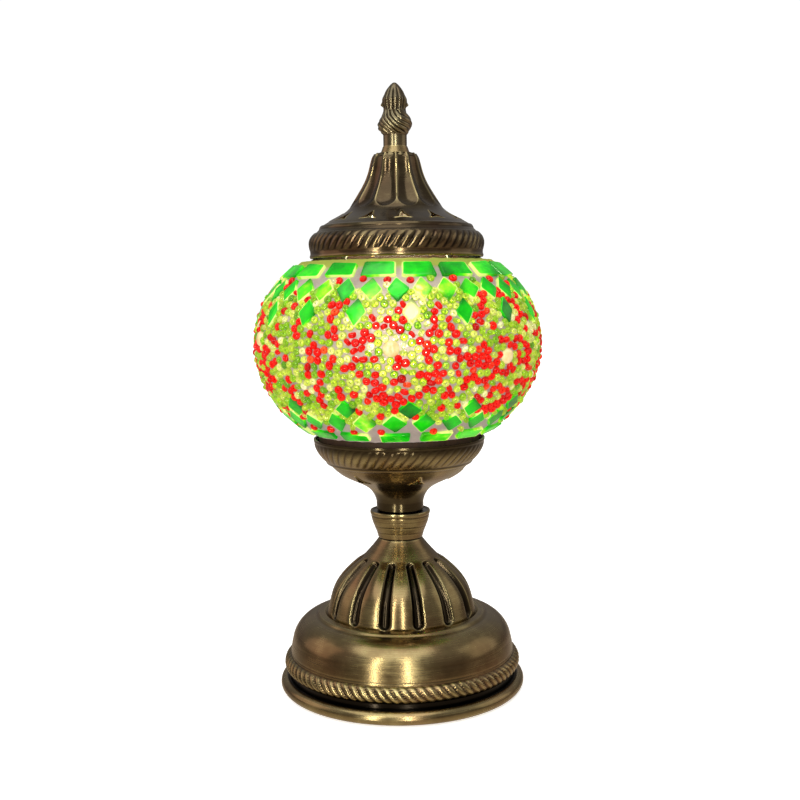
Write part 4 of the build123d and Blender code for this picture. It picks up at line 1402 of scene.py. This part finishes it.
def make_floor():
    """A wide pale floor that the metal doesn't mirror."""
    material, tree, shader = blank("floor", Roughness=0.9, Specular_IOR_Level=0.1, Emission_Strength=0.62)
    clouds = noise(tree, place_of(tree), 3.0)
    feed(shader, Base_Color=ramp(tree, clouds, (0.3, rgb(0.90, 0.90, 0.90)), (0.7, rgb(0.93, 0.93, 0.93))))
    shader.inputs["Emission Color"].default_value = rgb(1.0, 1.0, 1.0)
    radii = np.array([0.02, 0.1, 0.3, 0.8, 2.0, 6.0])[:, None] + np.zeros(FLOOR_COLUMNS)
    faces = ring_faces(*radii.shape)[:, ::-1].tolist() + [list(range(FLOOR_COLUMNS))]
    floor = mesh_object("floor", round_axis(radii, 0), faces, material)
    floor.visible_glossy = False
    floor.visible_diffuse = False
    floor.visible_shadow = False


def make_world():
    """A soft studio: dim round the horizon, brighter above and below, and white where the camera looks past
    the lamp.
    """
    world = bpy.data.worlds.new("studio")
    bpy.context.scene.world = world
    world.use_nodes = True
    tree = world.node_tree
    tree.nodes.clear()
    height = put(tree, "SeparateXYZ", {"Vector": put(tree, "TexCoord").outputs["Generated"]}).outputs["Z"]
    share = scaled(tree, height, -1.0, 1.0, 0.0, 1.0)
    sky = (
        (0.0, rgb(0.80, 0.68, 0.54)), (0.38, rgb(0.44, 0.36, 0.28)), (0.50, rgb(0.14, 0.115, 0.10)),
        (0.60, rgb(0.25, 0.23, 0.21)), (1.0, rgb(0.46, 0.46, 0.46)),
    )
    room = put(tree, "Background", {"Color": ramp(tree, share, *sky), "Strength": 1.0})
    white = put(tree, "Background", {"Color": rgb(1.0, 1.0, 1.0), "Strength": 1.05})
    seen = put(tree, "LightPath").outputs["Is Camera Ray"]
    mixed = put(tree, "MixShader", {0: seen, 1: room.outputs[0], 2: white.outputs[0]})
    output = put(tree, "OutputWorld")
    tree.links.new(mixed.outputs[0], output.inputs["Surface"])


def make_light(name, kind, azimuth, elevation, distance, power, **settings):
    """A light that looks at the middle of the lamp from that direction."""
    data = bpy.data.lights.new(name, kind)
    data.energy = power
    for key, value in settings.items():
        setattr(data, key, value)
    light = new_object(name, data)
    turn, up = math.radians(azimuth), math.radians(elevation)
    out = Vector((math.sin(turn) * math.cos(up), -math.cos(turn) * math.cos(up), math.sin(up)))
    light.location = Vector((0, 0, 0.12)) + out * distance
    light.rotation_euler = out.to_track_quat("Z", "Y").to_euler()


def make_lights():
    """A soft panel above, two tall strips in front, a window at each side, and the bulb's light upward."""
    make_light("sky_panel", "SUN", -20, 68, 2.0, 1.3, angle=math.radians(60), color=(1.0, 0.99, 0.97))
    strip = {"shape": "RECTANGLE", "size": 0.05, "size_y": 1.5}
    make_light("strip_left", "AREA", -27, 6, 1.2, 7.5, color=(1.0, 0.96, 0.84), **strip)
    make_light("strip_right", "AREA", 5, 8, 1.2, 7.5, color=(1.0, 0.97, 0.86), **strip)
    window = {"shape": "RECTANGLE", "size": 0.9, "size_y": 0.9}
    make_light("window_left", "AREA", -100, 20, 1.2, 1.6, color=(1.0, 0.70, 0.62), **window)
    make_light("window_right", "AREA", 95, 20, 1.2, 1.4, color=(1.0, 0.95, 0.85), **window)
    upward = {"spot_size": 2.9, "spot_blend": 0.3, "shadow_soft_size": 0.004}
    make_light("bulb_spill", "SPOT", 0, -87, -0.056, 0.12, color=(1.0, 0.82, 0.5), **upward)


for make in (
    make_felt_pad, make_foot_ring, make_bell, make_dome, make_collar, make_cup, make_cap, make_washer,
    make_finial, make_glass, make_mosaic, refinish_cad_nodes,
    make_camera, make_floor, make_world, make_lights,
):
    make()
bpy.context.scene.view_settings.view_transform = "Standard"
